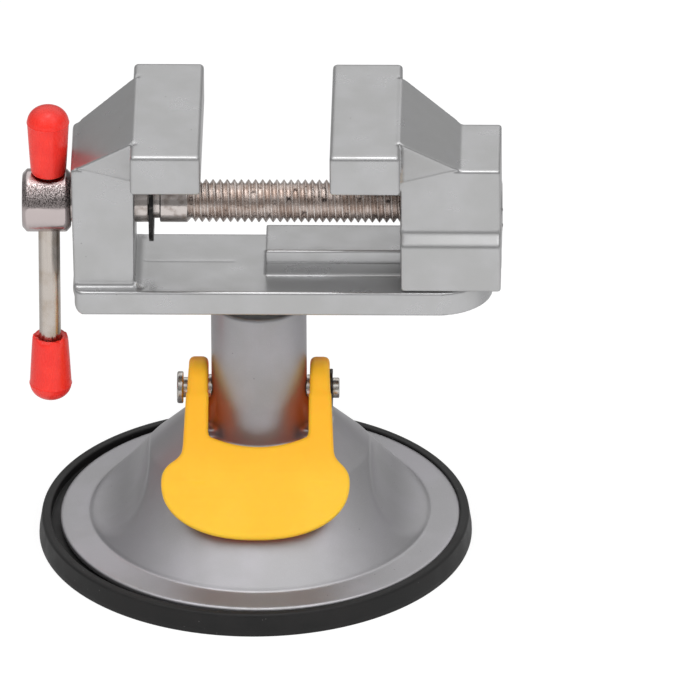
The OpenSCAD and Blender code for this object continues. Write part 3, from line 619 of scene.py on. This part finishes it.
def make_cup():
    """The rubber ring turned round its section: foot, outer wall that leans in, rim, and the ledge
    under the metal disc. Its outer wall and rim stand a little off the disc's centre. The diaphragm
    closes it below."""
    rim_in = disc_r + 1.15
    section = rounded([(ring_in_r, 2, 0), (41.2, 0.3, 0.5), (43, 0, 0.8), (cup_r, 0, 0.35),
                       (cup_r - 0.05, 1.4, 0.3), (cup_r - 0.75, cup_h, 0.9), (rim_in, cup_h, 0.5),
                       (rim_in, ledge_z - 0.6, 0.2), (disc_r - 1, ledge_z - 0.6, 0.2),
                       (disc_r - 2, ledge_z, 0.2), (ring_in_r, ledge_z, 0)])
    points, faces = revolved(*section, 256, closed=True)
    outwards = np.clip((np.hypot(points[:, 0], points[:, 1]) - disc_r + 1) / 2, 0, 1)
    points[:, 0] -= cup_shift * outwards
    ring = new_piece("cup_ring", points, faces, "base", ["suction_cup"])
    low, high = span("cup_diaphragm")
    r = np.concatenate([[0.01], np.linspace(1, middle_r, 60), np.linspace(middle_r, 12, 45),
                        [11, 11, 10.5, 0.01]])
    bottom = low[2] + middle_rise * np.clip((middle_r - r[:61]) / middle_slope_w, 0, 1) ** 1.15
    top = low[2] + middle_t + middle_rise * np.clip((middle_r - r[61:106]) / middle_slope_w, 0, 1) ** 1.15
    z = np.concatenate([bottom, top, [low[2] + 5.8, high[2] - 0.5, high[2], high[2]]])
    points, faces = revolved(r[::-1], z[::-1], 128)
    faces = [part[:, ::-1] for part in faces]
    middle = new_piece("cup_middle", points, faces, "base", ["cup_diaphragm"])
    1 - lock_lift / high[2]
    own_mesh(middle)
    return ring, middle


# Lead screw

screw_low, screw_high = span("lead_screw")
head_len, head_r = 12.4, screw_high[1]
head_left = screw_low[0] + 0.35
head_right = head_left + head_len
head_mid = (head_left + head_right) / 2
bar_x = head_mid + 0.5
shank_r, thread_r, thread_depth, pitch = 5.5, 5.45, 1.05, 1.8
shank_end, thread_end = -17.0, screw_high[0]
groove_left, groove_w, groove_r = jaw_right + 3.55, 2.8, 4.5
bar_r = 2.75


def head_field(x, y, z):
    """The screw's head: a chamfered cylinder along x, crossed by the hole for the bar."""
    z = z - screw_z
    r = np.hypot(y, z)
    drum = pillar(r - head_r, x, head_left, head_right, 0.4)
    chamfer = np.abs(x - head_mid) - head_len / 2 + (r - head_r + 1.3) * 0.9
    drum = soft_max(drum, chamfer * math.sqrt(0.5), 0.25)
    hole = np.hypot(x - bar_x, y) - bar_r - 0.06
    return soft_max(drum, -hole, 0.25)


def make_screw():
    """The head from its field, the shank turned about x round its section, and the thread."""
    low = (head_left - 1, -head_r - 1, screw_z - head_r - 1)
    high = (head_right + 1, head_r + 1, screw_z + head_r + 1)
    points, quads = skin(head_field, low, high, 0.3)
    head = new_piece("screw_head", points, [quads], "screw", ["lead_screw"])
    groove_right = groove_left + groove_w
    shank = rounded([(0.01, head_right - 0.2, 0), (shank_r, head_right - 0.2, 0.1),
                     (shank_r, groove_left, 0.3), (groove_r, groove_left, 0.1),
                     (groove_r, groove_right, 0.1), (shank_r, groove_right, 0.3),
                     (shank_r, shank_end - 0.9, 0.3),
                     (thread_r - thread_depth, shank_end + 0.1, 0.2), (0.01, shank_end + 0.1, 0)])
    points, faces = revolved(*shank, 96)
    points = along_x(points, 0, screw_z)
    plain = new_piece("screw_shank", points, faces, "screw", ["lead_screw"])
    return head, plain, make_thread()


def make_thread():
    """The thread turned about x: r = root + depth * tooth, where the tooth is a triangle wave of
    x / pitch - angle / turn with its crest and root slightly flattened, faded out at both ends."""
    turns = 72
    x = np.arange(shank_end - 0.2, thread_end + 0.06, 0.12)[:, None]
    angle = np.linspace(0, 2 * np.pi, turns, endpoint=False)[None, :]
    phase = (x / pitch - angle / (2 * np.pi)) % 1
    tooth = np.clip((1 - np.abs(2 * phase - 1) - 0.08) / 0.82, 0, 1)
    fade = np.clip((x - shank_end) / 1.2, 0, 1) * np.clip((thread_end - x) / 1.6, 0, 1)
    radius = thread_r - thread_depth * (1 - tooth * fade)
    points, faces = revolved(radius, x, turns)
    points = along_x(points, 0, screw_z)
    return new_piece("screw_thread", points, faces, "screw", ["lead_screw"])


# Clips

def clip_field(outer, groove, x0, thickness, z0):
    """A snap clip across x: an open ring with three prongs that reach down to its groove."""
    def field(x, y, z):
        z = z - z0
        r = np.hypot(y, z)
        ring = np.maximum(r - outer, outer * 0.7 - r)
        mouth = np.maximum(np.abs(z) - outer * 0.5, -y)
        ring = soft_max(ring, -mouth, 0.4)
        prong = 1e9
        for along, across in ((-y, z), (z, y), (-z, y)):
            arm = np.maximum(np.abs(across) - outer * 0.17, np.abs(along - outer * 0.65) - outer * 0.25)
            prong = np.minimum(prong, arm)
        flat = soft_max(soft_min(ring, prong, 0.5), groove - r, 0.2)
        return pillar(flat, x, x0, x0 + thickness, 0.15)
    return field


def make_clips():
    """Both clips, each round its groove. The screw's clip stands a little to the right of the frame's."""
    made = []
    for node, body, groove, step, shift in (("screw_clip", "screw", groove_r, 0.24, 0.6),
                                            ("lever_pin_clip", "stem", pin_groove_r, 0.14, 0)):
        low, high = span(node)
        centre_z = (low[2] + high[2]) / 2
        outer = (high[2] - low[2]) / 2
        field = clip_field(outer, groove + 0.02, low[0] + shift, high[0] - low[0], centre_z)
        points, quads = skin(field, (low[0] - 0.5, -outer - 0.5, centre_z - outer - 0.5),
                             (high[0] + 1.0, outer + 0.5, centre_z + outer + 0.5), step)
        made.append(new_piece(node + "_spring", points, [quads], body, [node]))
    return made


# Tommy bar and caps

def make_bar():
    """The bar with rounded ends, turned about z."""
    low, high = span("tommy_bar")
    section = rounded([(0.01, low[2], 0), (bar_r, low[2], 0.4), (bar_r, high[2], 0.4), (0.01, high[2], 0)])
    points, faces = revolved(*section, 64)
    return new_piece("bar_steel", points + (bar_x, 0, 0), faces, "handle", ["tommy_bar"])


def cap_section(length):
    """A cap's outside from its mouth to its crown and its inside back: a tapered skirt, a fine seam at
    the widest place, and an egg-shaped dome."""
    seam = length - 4.3
    outside = [(4.0, 0.0), (4.3, 0.02), (4.43, 0.2), (4.46, 0.6)]
    climb = np.linspace(1, seam - 0.35, 10)
    skirt = np.stack([4.47 + 0.86 * (climb / seam) ** 0.85, climb], -1)
    lip = [(5.34, seam - 0.2), (5.44, seam - 0.08), (5.44, seam + 0.08), (5.36, seam + 0.2)]
    turn = np.radians(np.linspace(4, 89, 22))
    dome = np.stack([5.34 * np.cos(turn) ** 0.92, seam + 4.3 * np.sin(turn)], -1)
    return np.concatenate([outside, skirt, lip, dome])


def make_caps():
    """The upper cap stands mouth down on the head, and its rim sags in front and behind by a share of
    sin squared of the angle. The lower cap hangs mouth up, and its edge follows waves of the angle."""
    made = []
    for node, mirror, ragged, sag in (("upper_cap", 1, 0.05, 0.3), ("lower_cap", -1, 0.55, 0)):
        low, high = span(node)
        section = cap_section(high[2] - low[2])
        turns = 96
        angle = np.linspace(0, 2 * np.pi, turns, endpoint=False)[None, :]
        wave = np.sin(3 * angle + 0.6) + 0.7 * np.sin(7 * angle + 2.1) + 0.5 * np.sin(11 * angle)
        near_mouth = np.clip(1 - section[:, 1] / 2.4, 0, 1)[:, None] ** 1.5
        height = section[:, 1][:, None] + (ragged * (1 + 0.6 * wave) - sag * np.sin(angle) ** 2) * near_mouth
        inside_r, inside_z = [4.0, bar_r + 0.02, bar_r + 0.02], [0.4, 0.9, 6]
        radius = np.concatenate([inside_r[::-1], section[:, 0]])
        height = np.concatenate([np.repeat(np.array(inside_z[::-1])[:, None], turns, 1), height])
        points, faces = revolved(radius, height, turns)
        if mirror < 0:
            points[:, 2] = high[2] - points[:, 2]
            faces = [part[:, ::-1] for part in faces]
        else:
            points[:, 2] += low[2]
        points = points + (bar_x, 0, 0)
        made.append(new_piece(node + "_vinyl", points, faces, "handle", [node]))
    return made


# Lever pin, spacers and the release spring

def make_pin():
    """The pin along x: a flanged head, the plain shank, the clip's groove and a chamfered end."""
    low, high = span("lever_pin")
    clip_low, clip_high = span("lever_pin_clip")
    groove = clip_low[0] - 0.02, clip_high[0] + 0.02
    head_r, head_end = 4.1, low[0] + 1.6
    section = rounded([(0.01, low[0], 0), (head_r, low[0], 0.5), (head_r, head_end, 0.35),
                       (pin_r, head_end, 0.1), (pin_r, groove[0], 0.05), (pin_groove_r, groove[0], 0.05),
                       (pin_groove_r, groove[1], 0.05), (pin_r, groove[1], 0.1), (pin_r, high[0], 0.3),
                       (0.01, high[0], 0)])
    points, faces = revolved(*section, 64)
    return new_piece("pin_steel", along_x(points, 0, pin_z), faces, "stem", ["lever_pin"])


def make_spring():
    """A wire of radius w along a helix of radius R: (R + w cos b) round the axis and w sin b up."""
    low, high = span("release_spring")
    wire, ring, turns = 0.7, 7.6, 6
    t = np.linspace(0, 1, turns * 40 + 1)[:, None]
    b = np.linspace(0, 2 * np.pi, 12, endpoint=False)[None, :]
    a = 2 * np.pi * turns * t
    r = ring + wire * np.cos(b)
    z = low[2] + wire + (high[2] - low[2] - 2 * wire) * t + wire * np.sin(b)
    grid = np.stack([r * np.cos(a), r * np.sin(a), z], -1)
    ends = grid[[0, -1]].mean(1)
    count = grid.shape[0] * grid.shape[1]
    j = np.arange(12)
    start = np.stack([np.full(12, count), j, (j + 1) % 12], -1)
    last = count - 12
    end = np.stack([np.full(12, count + 1), last + (j + 1) % 12, last + j], -1)
    points = np.concatenate([grid.reshape(-1, 3), ends])
    quads = ring_quads(grid.shape[0], 12)[:, ::-1]
    faces = [quads, start, end]
    return new_piece("spring_wire", points, faces, "base", ["release_spring"])


# Materials

class Wire:
    """A shader socket that takes part in sums: each operator adds a Math node."""

    def __init__(self, tree, socket):
        self.tree, self.socket = tree, socket

    def maths(self, operation, *values):
        return add_node(self.tree, "ShaderNodeMath", {"operation": operation}, dict(enumerate(values)))

    def __add__(self, other):
        return self.maths("ADD", self, other)

    def __radd__(self, other):
        return self.maths("ADD", other, self)

    def __sub__(self, other):
        return self.maths("SUBTRACT", self, other)

    def __rsub__(self, other):
        return self.maths("SUBTRACT", other, self)

    def __mul__(self, other):
        return self.maths("MULTIPLY", self, other)

    def __rmul__(self, other):
        return self.maths("MULTIPLY", other, self)

    def __truediv__(self, other):
        return self.maths("DIVIDE", self, other)


def add_node(tree, kind, settings=None, inputs=None, output=0):
    """Any node: its settings first, such as an operation or a ramp's stops, then the values or links of
    its inputs. Gives back the named or numbered output as a Wire."""
    node = tree.nodes.new(kind)
    for key, value in (settings or {}).items():
        if key == "stops":
            ramp = node.color_ramp
            while len(ramp.elements) < len(value):
                ramp.elements.new(0.5)
            for element, (position, colour) in zip(ramp.elements, value):
                element.position, element.color = position, (*colour, 1)
        else:
            setattr(node, key, value)
    for key, value in (inputs or {}).items():
        if isinstance(value, Wire):
            tree.links.new(value.socket, node.inputs[key])
        else:
            node.inputs[key].default_value = value
    return Wire(tree, node.outputs[output])


def ramp(tree, value, low, high, out_low=0.0, out_high=1.0):
    """A value carried from one range to another and held at its ends, smoothly."""
    inputs = {"Value": value, "From Min": low, "From Max": high, "To Min": out_low, "To Max": out_high}
    return add_node(tree, "ShaderNodeMapRange", {"interpolation_type": "SMOOTHSTEP"}, inputs)


def ray(tree, name):
    """1 where the surface is met by a ray of the named kind."""
    return add_node(tree, "ShaderNodeLightPath", output=name)


def part_of(tree, place, name):
    """One of a place's three parts: X, Y or Z."""
    return add_node(tree, "ShaderNodeSeparateXYZ", None, {"Vector": place}, name)


def emptied(holder):
    """The node tree of a new material or world, with nothing in it."""
    holder.use_nodes = True
    holder.node_tree.nodes.clear()
    return holder.node_tree


def put_out(tree, kind, shader):
    """Leads a shader to a new output node."""
    tree.links.new(shader.socket, tree.nodes.new(kind).inputs["Surface"])


def colour(red, green, blue):
    """A colour written as the eye sees it, from 0 to 255, as linear light."""
    shares = np.array([red, green, blue]) / 255
    linear = np.where(shares <= 0.04045, shares / 12.92, ((shares + 0.055) / 1.055) ** 2.4)
    return tuple(float(value) for value in linear)


class Finish:
    """A material being built: places on the piece in millimetres, and the patterns made from them."""

    def __init__(self, name):
        self.material = bpy.data.materials.new(name)
        self.tree = emptied(self.material)
        place = add_node(self.tree, "ShaderNodeTexCoord", output="Object")
        self.place = add_node(self.tree, "ShaderNodeMapping", inputs={"Vector": place, "Scale": (1000,) * 3})

    def node(self, kind, settings=None, inputs=None, output=0):
        return add_node(self.tree, kind, settings, inputs, output)

    def stretched(self, scale):
        return self.node("ShaderNodeMapping", None, {"Vector": self.place, "Scale": scale})

    def noise(self, size, detail=2.0, rough=0.5, place=None):
        """Soft noise between about 0 and 1 with patches of a size in millimetres."""
        inputs = {"Vector": place or self.place, "Scale": 1 / size, "Detail": detail, "Roughness": rough}
        return self.node("ShaderNodeTexNoise", None, inputs)

    def cells(self, size, place=None):
        """Distance to the nearest of scattered points, which are a size apart."""
        return self.node("ShaderNodeTexVoronoi", None, {"Vector": place or self.place, "Scale": 1 / size})

    def between(self, value, low, high, out_low=0.0, out_high=1.0):
        return ramp(self.tree, value, low, high, out_low, out_high)

    def blend(self, share, one, two):
        """One colour at share 0 and the other at share 1."""
        node = self.tree.nodes.new("ShaderNodeMix")
        node.data_type = "RGBA"
        for key, value in ((0, share), (6, one), (7, two)):
            if isinstance(value, Wire):
                self.tree.links.new(value.socket, node.inputs[key])
            else:
                node.inputs[key].default_value = value if key == 0 else (*value, 1)
        return Wire(self.tree, node.outputs[2])

    def axis(self, name):
        return part_of(self.tree, self.place, name)

    def bump(self, height, distance, strength=1.0, normal=None):
        inputs = {"Height": height, "Distance": distance * MM, "Strength": strength}
        if normal is not None:
            inputs["Normal"] = normal
        return self.node("ShaderNodeBump", None, inputs)

    def done(self, **inputs):
        named = {key.replace("_", " "): value for key, value in inputs.items()}
        named = {key: (*value, 1) if isinstance(value, tuple) else value for key, value in named.items()}
        put_out(self.tree, "ShaderNodeOutputMaterial", self.node("ShaderNodeBsdfPrincipled", None, named))
        return self.material


def base_paint():
    """Silver paint with a lilac cast: fine metal flakes, orange peel, cloudy tone and a few specks."""
    f = Finish("base_paint")
    clouds, peel, flakes = f.noise(14, 3), f.noise(0.9, 2), f.noise(0.12, 1)
    tone = f.blend(f.between(clouds, 0.35, 0.65), colour(166, 164, 168), colour(161, 160, 162))
    tone = f.blend(f.between(flakes, 0.5, 0.75, 0, 0.3), tone, colour(190, 188, 194))
    speck = f.between(f.cells(4.5), 0.02, 0.045, 0.55, 0)
    tone = f.blend(speck, tone, colour(88, 84, 88))
    rough = f.between(clouds, 0.3, 0.7, 0.4, 0.46) + speck * 0.2
    height = peel * 0.6 + flakes * 0.25
    return f.done(Base_Color=tone, Metallic=0.9, Roughness=rough, Normal=f.bump(height, 0.014),
                  Coat_Weight=0.12, Coat_Roughness=0.15)


def vise_paint():
    """Satin silver over a die casting: flow marks along x, soft dents and dark nicks."""
    f = Finish("vise_paint")
    clouds, grain, flakes = f.noise(11, 3), f.noise(0.7, 3), f.noise(0.1, 1)
    flow = f.noise(3, 2, 0.5, f.stretched((0.18, 1, 1)))
    tone = f.blend(f.between(clouds, 0.35, 0.65), colour(181, 181, 182), colour(176, 176, 176))
    tone = f.blend(f.between(flakes, 0.5, 0.8, 0, 0.3), tone, colour(205, 205, 205))
    nick = f.between(f.cells(6.5), 0.012, 0.035, 0.6, 0)
    tone = f.blend(nick, tone, colour(96, 95, 95))
    rough = f.between(clouds + flow * 0.4, 0.4, 0.9, 0.26, 0.34)
    height = grain * 0.5 + flow * 0.6 + flakes * 0.15 - nick * 0.8
    return f.done(Base_Color=tone, Metallic=0.8, Roughness=rough, Normal=f.bump(height, 0.022),
                  Coat_Weight=0.1, Coat_Roughness=0.2)


def rubber():
    """Black rubber with a dusty bloom, fine grain and pale crumbs of dust."""
    f = Finish("rubber")
    bloom, grain = f.noise(9, 4), f.noise(0.25, 3)
    dust = f.between(f.cells(2.4), 0.02, 0.06, 0.6, 0)
    tone = f.blend(f.between(bloom, 0.35, 0.7), colour(26, 26, 26), colour(34, 33, 33))
    tone = f.blend(dust, tone, colour(120, 118, 116))
    rough = f.between(bloom, 0.3, 0.7, 0.45, 0.6)
    return f.done(Base_Color=tone, Roughness=rough, Normal=f.bump(grain, 0.03), Specular_IOR_Level=0.25)


def lever_plastic():
    """Amber moulded plastic with fine grain. A deeper orange high up, below the paddle's underside and
    between the arms is painted shade, and between the arms below the paddle a faint emission is a
    painted glow that stands in for light that comes through. Height h off the lever's slope is the
    distance along the slope's own upward direction."""
    f = Finish("lever_plastic")
    clouds, grain = f.noise(16, 2), f.noise(0.3, 3)
    slope = math.radians(lever_slope)
    side = f.axis("X")
    h = (f.axis("Z") - pin_z) * math.cos(slope) - f.axis("Y") * math.sin(slope)
    below = f.between(h, arm_end_r - paddle_t + 0.6, arm_end_r - paddle_t - 0.4)
    between_arms_painted_light = f.between(side.maths("ABSOLUTE", side - column_x), arm_inner + 0.5, arm_inner)
    high = f.between(f.axis("Z"), 26, 38)
    tone = f.blend(f.between(clouds, 0.35, 0.65), colour(255, 198, 61), colour(254, 194, 56))
    # Painted shade: a deeper orange higher up on the lever, where the arms' ends lie under the bed.
    tone = f.blend(high, tone, colour(255, 186, 47))
    # Painted shade: a deeper orange below the paddle's underside.
    tone = f.blend(below, tone, colour(255, 168, 31))
    # Painted shade and painted glow: the deepest orange and a faint emission between the arms below the
    # paddle.
    tone = f.blend(between_arms_painted_light * below, tone, colour(255, 128, 18))
    glow = f.blend(between_arms_painted_light * below, (0.0, 0.0, 0.0), colour(255, 104, 14))
    rough = f.between(grain + clouds * 0.5, 0.4, 0.9, 0.42, 0.52)
    return f.done(Base_Color=tone, Roughness=rough, Normal=f.bump(grain, 0.02), Subsurface_Weight=0.5,
                  Subsurface_Radius=Vector((1.0, 0.4, 0.1)), Subsurface_Scale=0.003, Specular_IOR_Level=0.3,
                  Emission_Color=glow, Emission_Strength=0.22)


def cap_plastic():
    """Glossy red vinyl, a little uneven, with fine scuffs."""
    f = Finish("cap_plastic")
    clouds, scuff = f.noise(5, 3), f.noise(0.5, 3, 0.6, f.stretched((1, 1, 0.2)))
    tone = f.blend(f.between(clouds, 0.35, 0.65), colour(246, 51, 38), colour(238, 42, 32))
    rough = f.between(scuff, 0.4, 0.75, 0.26, 0.4)
    return f.done(Base_Color=tone, Roughness=rough, Normal=f.bump(clouds + scuff * 0.2, 0.05),
                  Subsurface_Weight=0.05, Subsurface_Radius=Vector((0.003, 0.0006, 0.0004)))


def pitted_chrome():
    """Bright plating over a rough blank: pits lie along the head's upper front, and the rest is smooth.
    There the real pits are darkened as a painted reflection of a dark room above the front."""
    f = Finish("pitted_chrome")
    clouds, pits, fine = f.noise(3, 3), f.noise(0.28, 2, 0.5), f.noise(0.15, 2)
    up, away = f.axis("Z"), f.axis("Y")
    pit_and_painted_reflection_strip = f.between(up + clouds, screw_z + 1.8, screw_z + 3.4)
    pit_and_painted_reflection_strip = pit_and_painted_reflection_strip * f.between(up + clouds, screw_z + 8.2, screw_z + 6.8) * f.between(away, 2, -1)
    # Partly real pits, partly painted reflection: the dark pits stand in for the dark room that the head
    # mirrors above the front.
    hole = f.between(pits, 0.42, 0.58, 1, 0) * pit_and_painted_reflection_strip
    tone = f.blend(hole, colour(192, 181, 180), colour(98, 91, 90))
    rough = f.between(clouds, 0.3, 0.7, 0.12, 0.22) + hole * 0.2
    height = fine * 0.15 - hole
    return f.done(Base_Color=tone, Metallic=1.0, Roughness=rough, Normal=f.bump(height, 0.025))


def turned_chrome():
    """Bright plated shank with fine turning rings."""
    f = Finish("turned_chrome")
    rings = f.noise(0.5, 3, 0.6, f.stretched((3, 0.05, 0.05)))
    stain = f.noise(2.5, 3)
    tone = f.blend(f.between(stain, 0.45, 0.7), colour(204, 196, 192), colour(168, 157, 151))
    rough = f.between(stain, 0.3, 0.7, 0.14, 0.26)
    return f.done(Base_Color=tone, Metallic=1.0, Roughness=rough, Normal=f.bump(rings, 0.02))


def thread_steel():
    """Rolled thread with a brown film of old oil and dark stains."""
    f = Finish("thread_steel")
    film, grit = f.noise(4, 4), f.noise(0.5, 3, 0.6)
    stain = f.between(f.noise(1.6, 3, 0.6), 0.6, 0.7)
    tone = f.blend(f.between(film, 0.35, 0.65), colour(220, 211, 206), colour(196, 182, 174))
    tone = f.blend(stain * 0.8, tone, colour(62, 50, 46))
    rough = f.between(grit, 0.3, 0.7, 0.2, 0.36) + stain * 0.2
    return f.done(Base_Color=tone, Metallic=0.95, Roughness=rough, Normal=f.bump(grit, 0.05))


def bar_steel():
    """Plated bar drawn lengthwise: streaks along z with a warm cast."""
    f = Finish("bar_steel")
    streak = f.noise(0.4, 3, 0.6, f.stretched((1, 1, 0.04)))
    stain = f.noise(6, 3)
    tone = f.blend(f.between(stain, 0.4, 0.7), colour(197, 189, 182), colour(178, 165, 152))
    rough = f.between(streak, 0.3, 0.7, 0.22, 0.34)
    return f.done(Base_Color=tone, Metallic=1.0, Roughness=rough, Normal=f.bump(streak, 0.02))


def two_tone(name, one, two, rough, patch=3, grit=0.25, depth=0.02, edge=(0.35, 0.65), detail=3,
             metallic=1.0):
    """A small part in two tones that meet in soft patches of a size, with a fine grain of a size."""
    f = Finish(name)
    patches, grain = f.noise(patch, 3), f.noise(grit, detail)
    tone = f.blend(f.between(patches, *edge), colour(*one), colour(*two))
    return f.done(Base_Color=tone, Metallic=metallic, Roughness=f.between(grain, 0.3, 0.7, *rough),
                  Normal=f.bump(grain, depth))


def pin_zinc():
    """Zinc plated pin with a few brighter and duller patches."""
    return two_tone("pin_zinc", (208, 206, 202), (172, 166, 160), (0.16, 0.3), patch=1.5, grit=0.3,
                    depth=0.03)


def black_steel():
    """Blackened spring steel with rubbed spots."""
    return two_tone("black_steel", (42, 41, 41), (86, 83, 81), (0.3, 0.45), patch=1.2, grit=0.2,
                    edge=(0.5, 0.7), detail=2, metallic=0.8)


def nylon():
    """Milky bearing plastic with a fine grain."""
    return two_tone("nylon", (226, 223, 212), (214, 210, 198), (0.4, 0.52), patch=5, grit=0.3, metallic=0.0)


def dress(piece, material):
    """Gives a piece its one finish."""
    piece.data.materials.clear()
    piece.data.materials.append(material)


def dress_node(name, material):
    """Gives a CAD node that stays a new finish, in the slots that it has."""
    for place in frame["nodes"][name].material_slots:
        place.material = material


# Floor, world and lamps

plain_light = 0.48


def make_floor():
    """A white floor. To the camera it is lifted towards white, so the picture's ground is pale and the
    object's shadow stays on it. Glossy surfaces see it white in front of the object, greyer behind and
    dimmer far to the sides."""
    side = 6.0
    mesh = bpy.data.meshes.new("floor")
    corners = [(-side, -side, 0), (side, -side, 0), (side, side, 0), (-side, side, 0)]
    mesh.from_pydata(corners, [], [(0, 1, 2, 3)])
    floor = bpy.data.objects.new("floor", mesh)
    bpy.context.scene.collection.objects.link(floor)
    material = bpy.data.materials.new("floor")
    tree = emptied(material)
    place = add_node(tree, "ShaderNodeTexCoord", output="Object")
    mottle = add_node(tree, "ShaderNodeTexNoise", None, {"Vector": place, "Scale": 3.0})
    tone = add_node(tree, "ShaderNodeMapRange", None, {"Value": mottle, "To Min": 0.86, "To Max": 0.88})
    matt = add_node(tree, "ShaderNodeBsdfDiffuse", None, {"Color": tone})
    behind = part_of(tree, place, "Y")
    aside = part_of(tree, place, "X")
    far = aside.maths("ABSOLUTE", aside)
    mirrored = ramp(tree, behind, -0.07, 0.06, 1.15, 0.6) * ramp(tree, far, 0.22, 0.5, 1.0, 0.4)
    strength = mirrored + ray(tree, "Is Camera Ray") * (1.2 - mirrored)
    glow = add_node(tree, "ShaderNodeEmission", None, {"Color": (1, 1, 1, 1), "Strength": strength})
    seen = seen_directly(tree) * 0.72
    mixed = add_node(tree, "ShaderNodeMixShader", None, {0: seen, 1: matt, 2: glow})
    put_out(tree, "ShaderNodeOutputMaterial", mixed)
    dress(floor, material)


def seen_directly(tree):
    """1 for camera, glossy and transmission rays, and 0 for the light that the surface gives."""
    camera, glossy, through = (ray(tree, f"Is {kind} Ray") for kind in ("Camera", "Glossy", "Transmission"))
    return camera.maths("MAXIMUM", camera.maths("MAXIMUM", camera, glossy), through)


def make_world():
    """A studio tent as glossy surfaces see it: bright high up in front and over the back's edge, grey
    low down, a little brighter towards the right, and with a bright patch straight overhead. The light
    that it gives and the camera's view of it are plain."""
    world = bpy.data.worlds.new("studio")
    bpy.context.scene.world = world
    tree = emptied(world)
    camera, glossy = ray(tree, "Is Camera Ray"), ray(tree, "Is Glossy Ray")
    place = add_node(tree, "ShaderNodeTexCoord", output="Generated")
    up, away, aside = (part_of(tree, place, name) for name in "ZYX")
    front = ramp(tree, up, 0.46, 0.82, 0.3, 1.25)
    back = ramp(tree, up, 0.37, 0.44, 0.38, 1.12)
    share = ramp(tree, away, 0.25, 0.6)
    mirrored = (front + share * (back - front)) * ramp(tree, aside, -0.6, 0.6, 0.92, 1.12)
    mirrored = mirrored + ramp(tree, up, 0.935, 0.985, 0.0, 2.5)
    light = plain_light + glossy * (mirrored - plain_light)
    strength = light + camera * (1 - light)
    ground = add_node(tree, "ShaderNodeBackground", None, {"Color": (1, 1, 1, 1), "Strength": strength})
    put_out(tree, "ShaderNodeOutputWorld", ground)


def softbox(name, azimuth, elevation, distance, size, power, mirrored=True):
    """A square lamp that faces the object from an azimuth, counted from the camera's side to the right,
    and an elevation. It may be left out of what glossy surfaces mirror."""
    lamp = bpy.data.objects.new(name, bpy.data.lights.new(name, "AREA"))
    lamp.visible_glossy = mirrored
    lamp.data.size = size
    lamp.data.energy = power
    a, e = math.radians(azimuth), math.radians(elevation)
    away = Vector((math.sin(a) * math.cos(e), -math.cos(a) * math.cos(e), math.sin(e)))
    lamp.location = Vector((0, 0, 0.06)) + away * distance
    lamp.rotation_euler = (-away).to_track_quat("-Z", "Y").to_euler()
    bpy.context.scene.collection.objects.link(lamp)


def make_lights():
    """A small softbox on each side that metal mirrors, and a large one on each side that it doesn't."""
    softbox("left_softbox", -47, 58, 1.2, 0.45, 0.5)
    softbox("right_softbox", 47, 58, 1.2, 0.45, 0.5)
    softbox("left_front_softbox", -36, 28, 1.8, 1.2, 11, mirrored=False)
    softbox("right_front_softbox", 36, 28, 1.8, 1.2, 12.5, mirrored=False)


dress(make_housing(), base_paint())
vise_finish = vise_paint()
for casting in make_castings():
    dress(casting, vise_finish)
dress(make_lever(), lever_plastic())
rubber_finish = rubber()
for part in make_cup():
    dress(part, rubber_finish)
head, shank, thread = make_screw()
dress(head, pitted_chrome())
dress(shank, turned_chrome())
dress(thread, thread_steel())
clip_finish = black_steel()
for clip in make_clips():
    dress(clip, clip_finish)
dress(make_bar(), bar_steel())
cap_finish = cap_plastic()
for cap in make_caps():
    dress(cap, cap_finish)
zinc = pin_zinc()
dress(make_pin(), zinc)
drawn = two_tone("spring_steel", (176, 172, 168), (140, 136, 132), (0.25, 0.4))
dress(make_spring(), drawn)
for node_name in ("left_spacer", "right_spacer", "swivel_washer", "cup_stem"):
    dress_node(node_name, zinc)
dress_node("swivel_lock_washer", drawn)
dress_node("swivel_bush", nylon())
dress_node("swivel_screw", two_tone("dark_screw", (84, 84, 86), (60, 60, 62), (0.3, 0.45)))

make_floor()
make_world()
make_lights()
bpy.context.scene.view_settings.view_transform = "Standard"
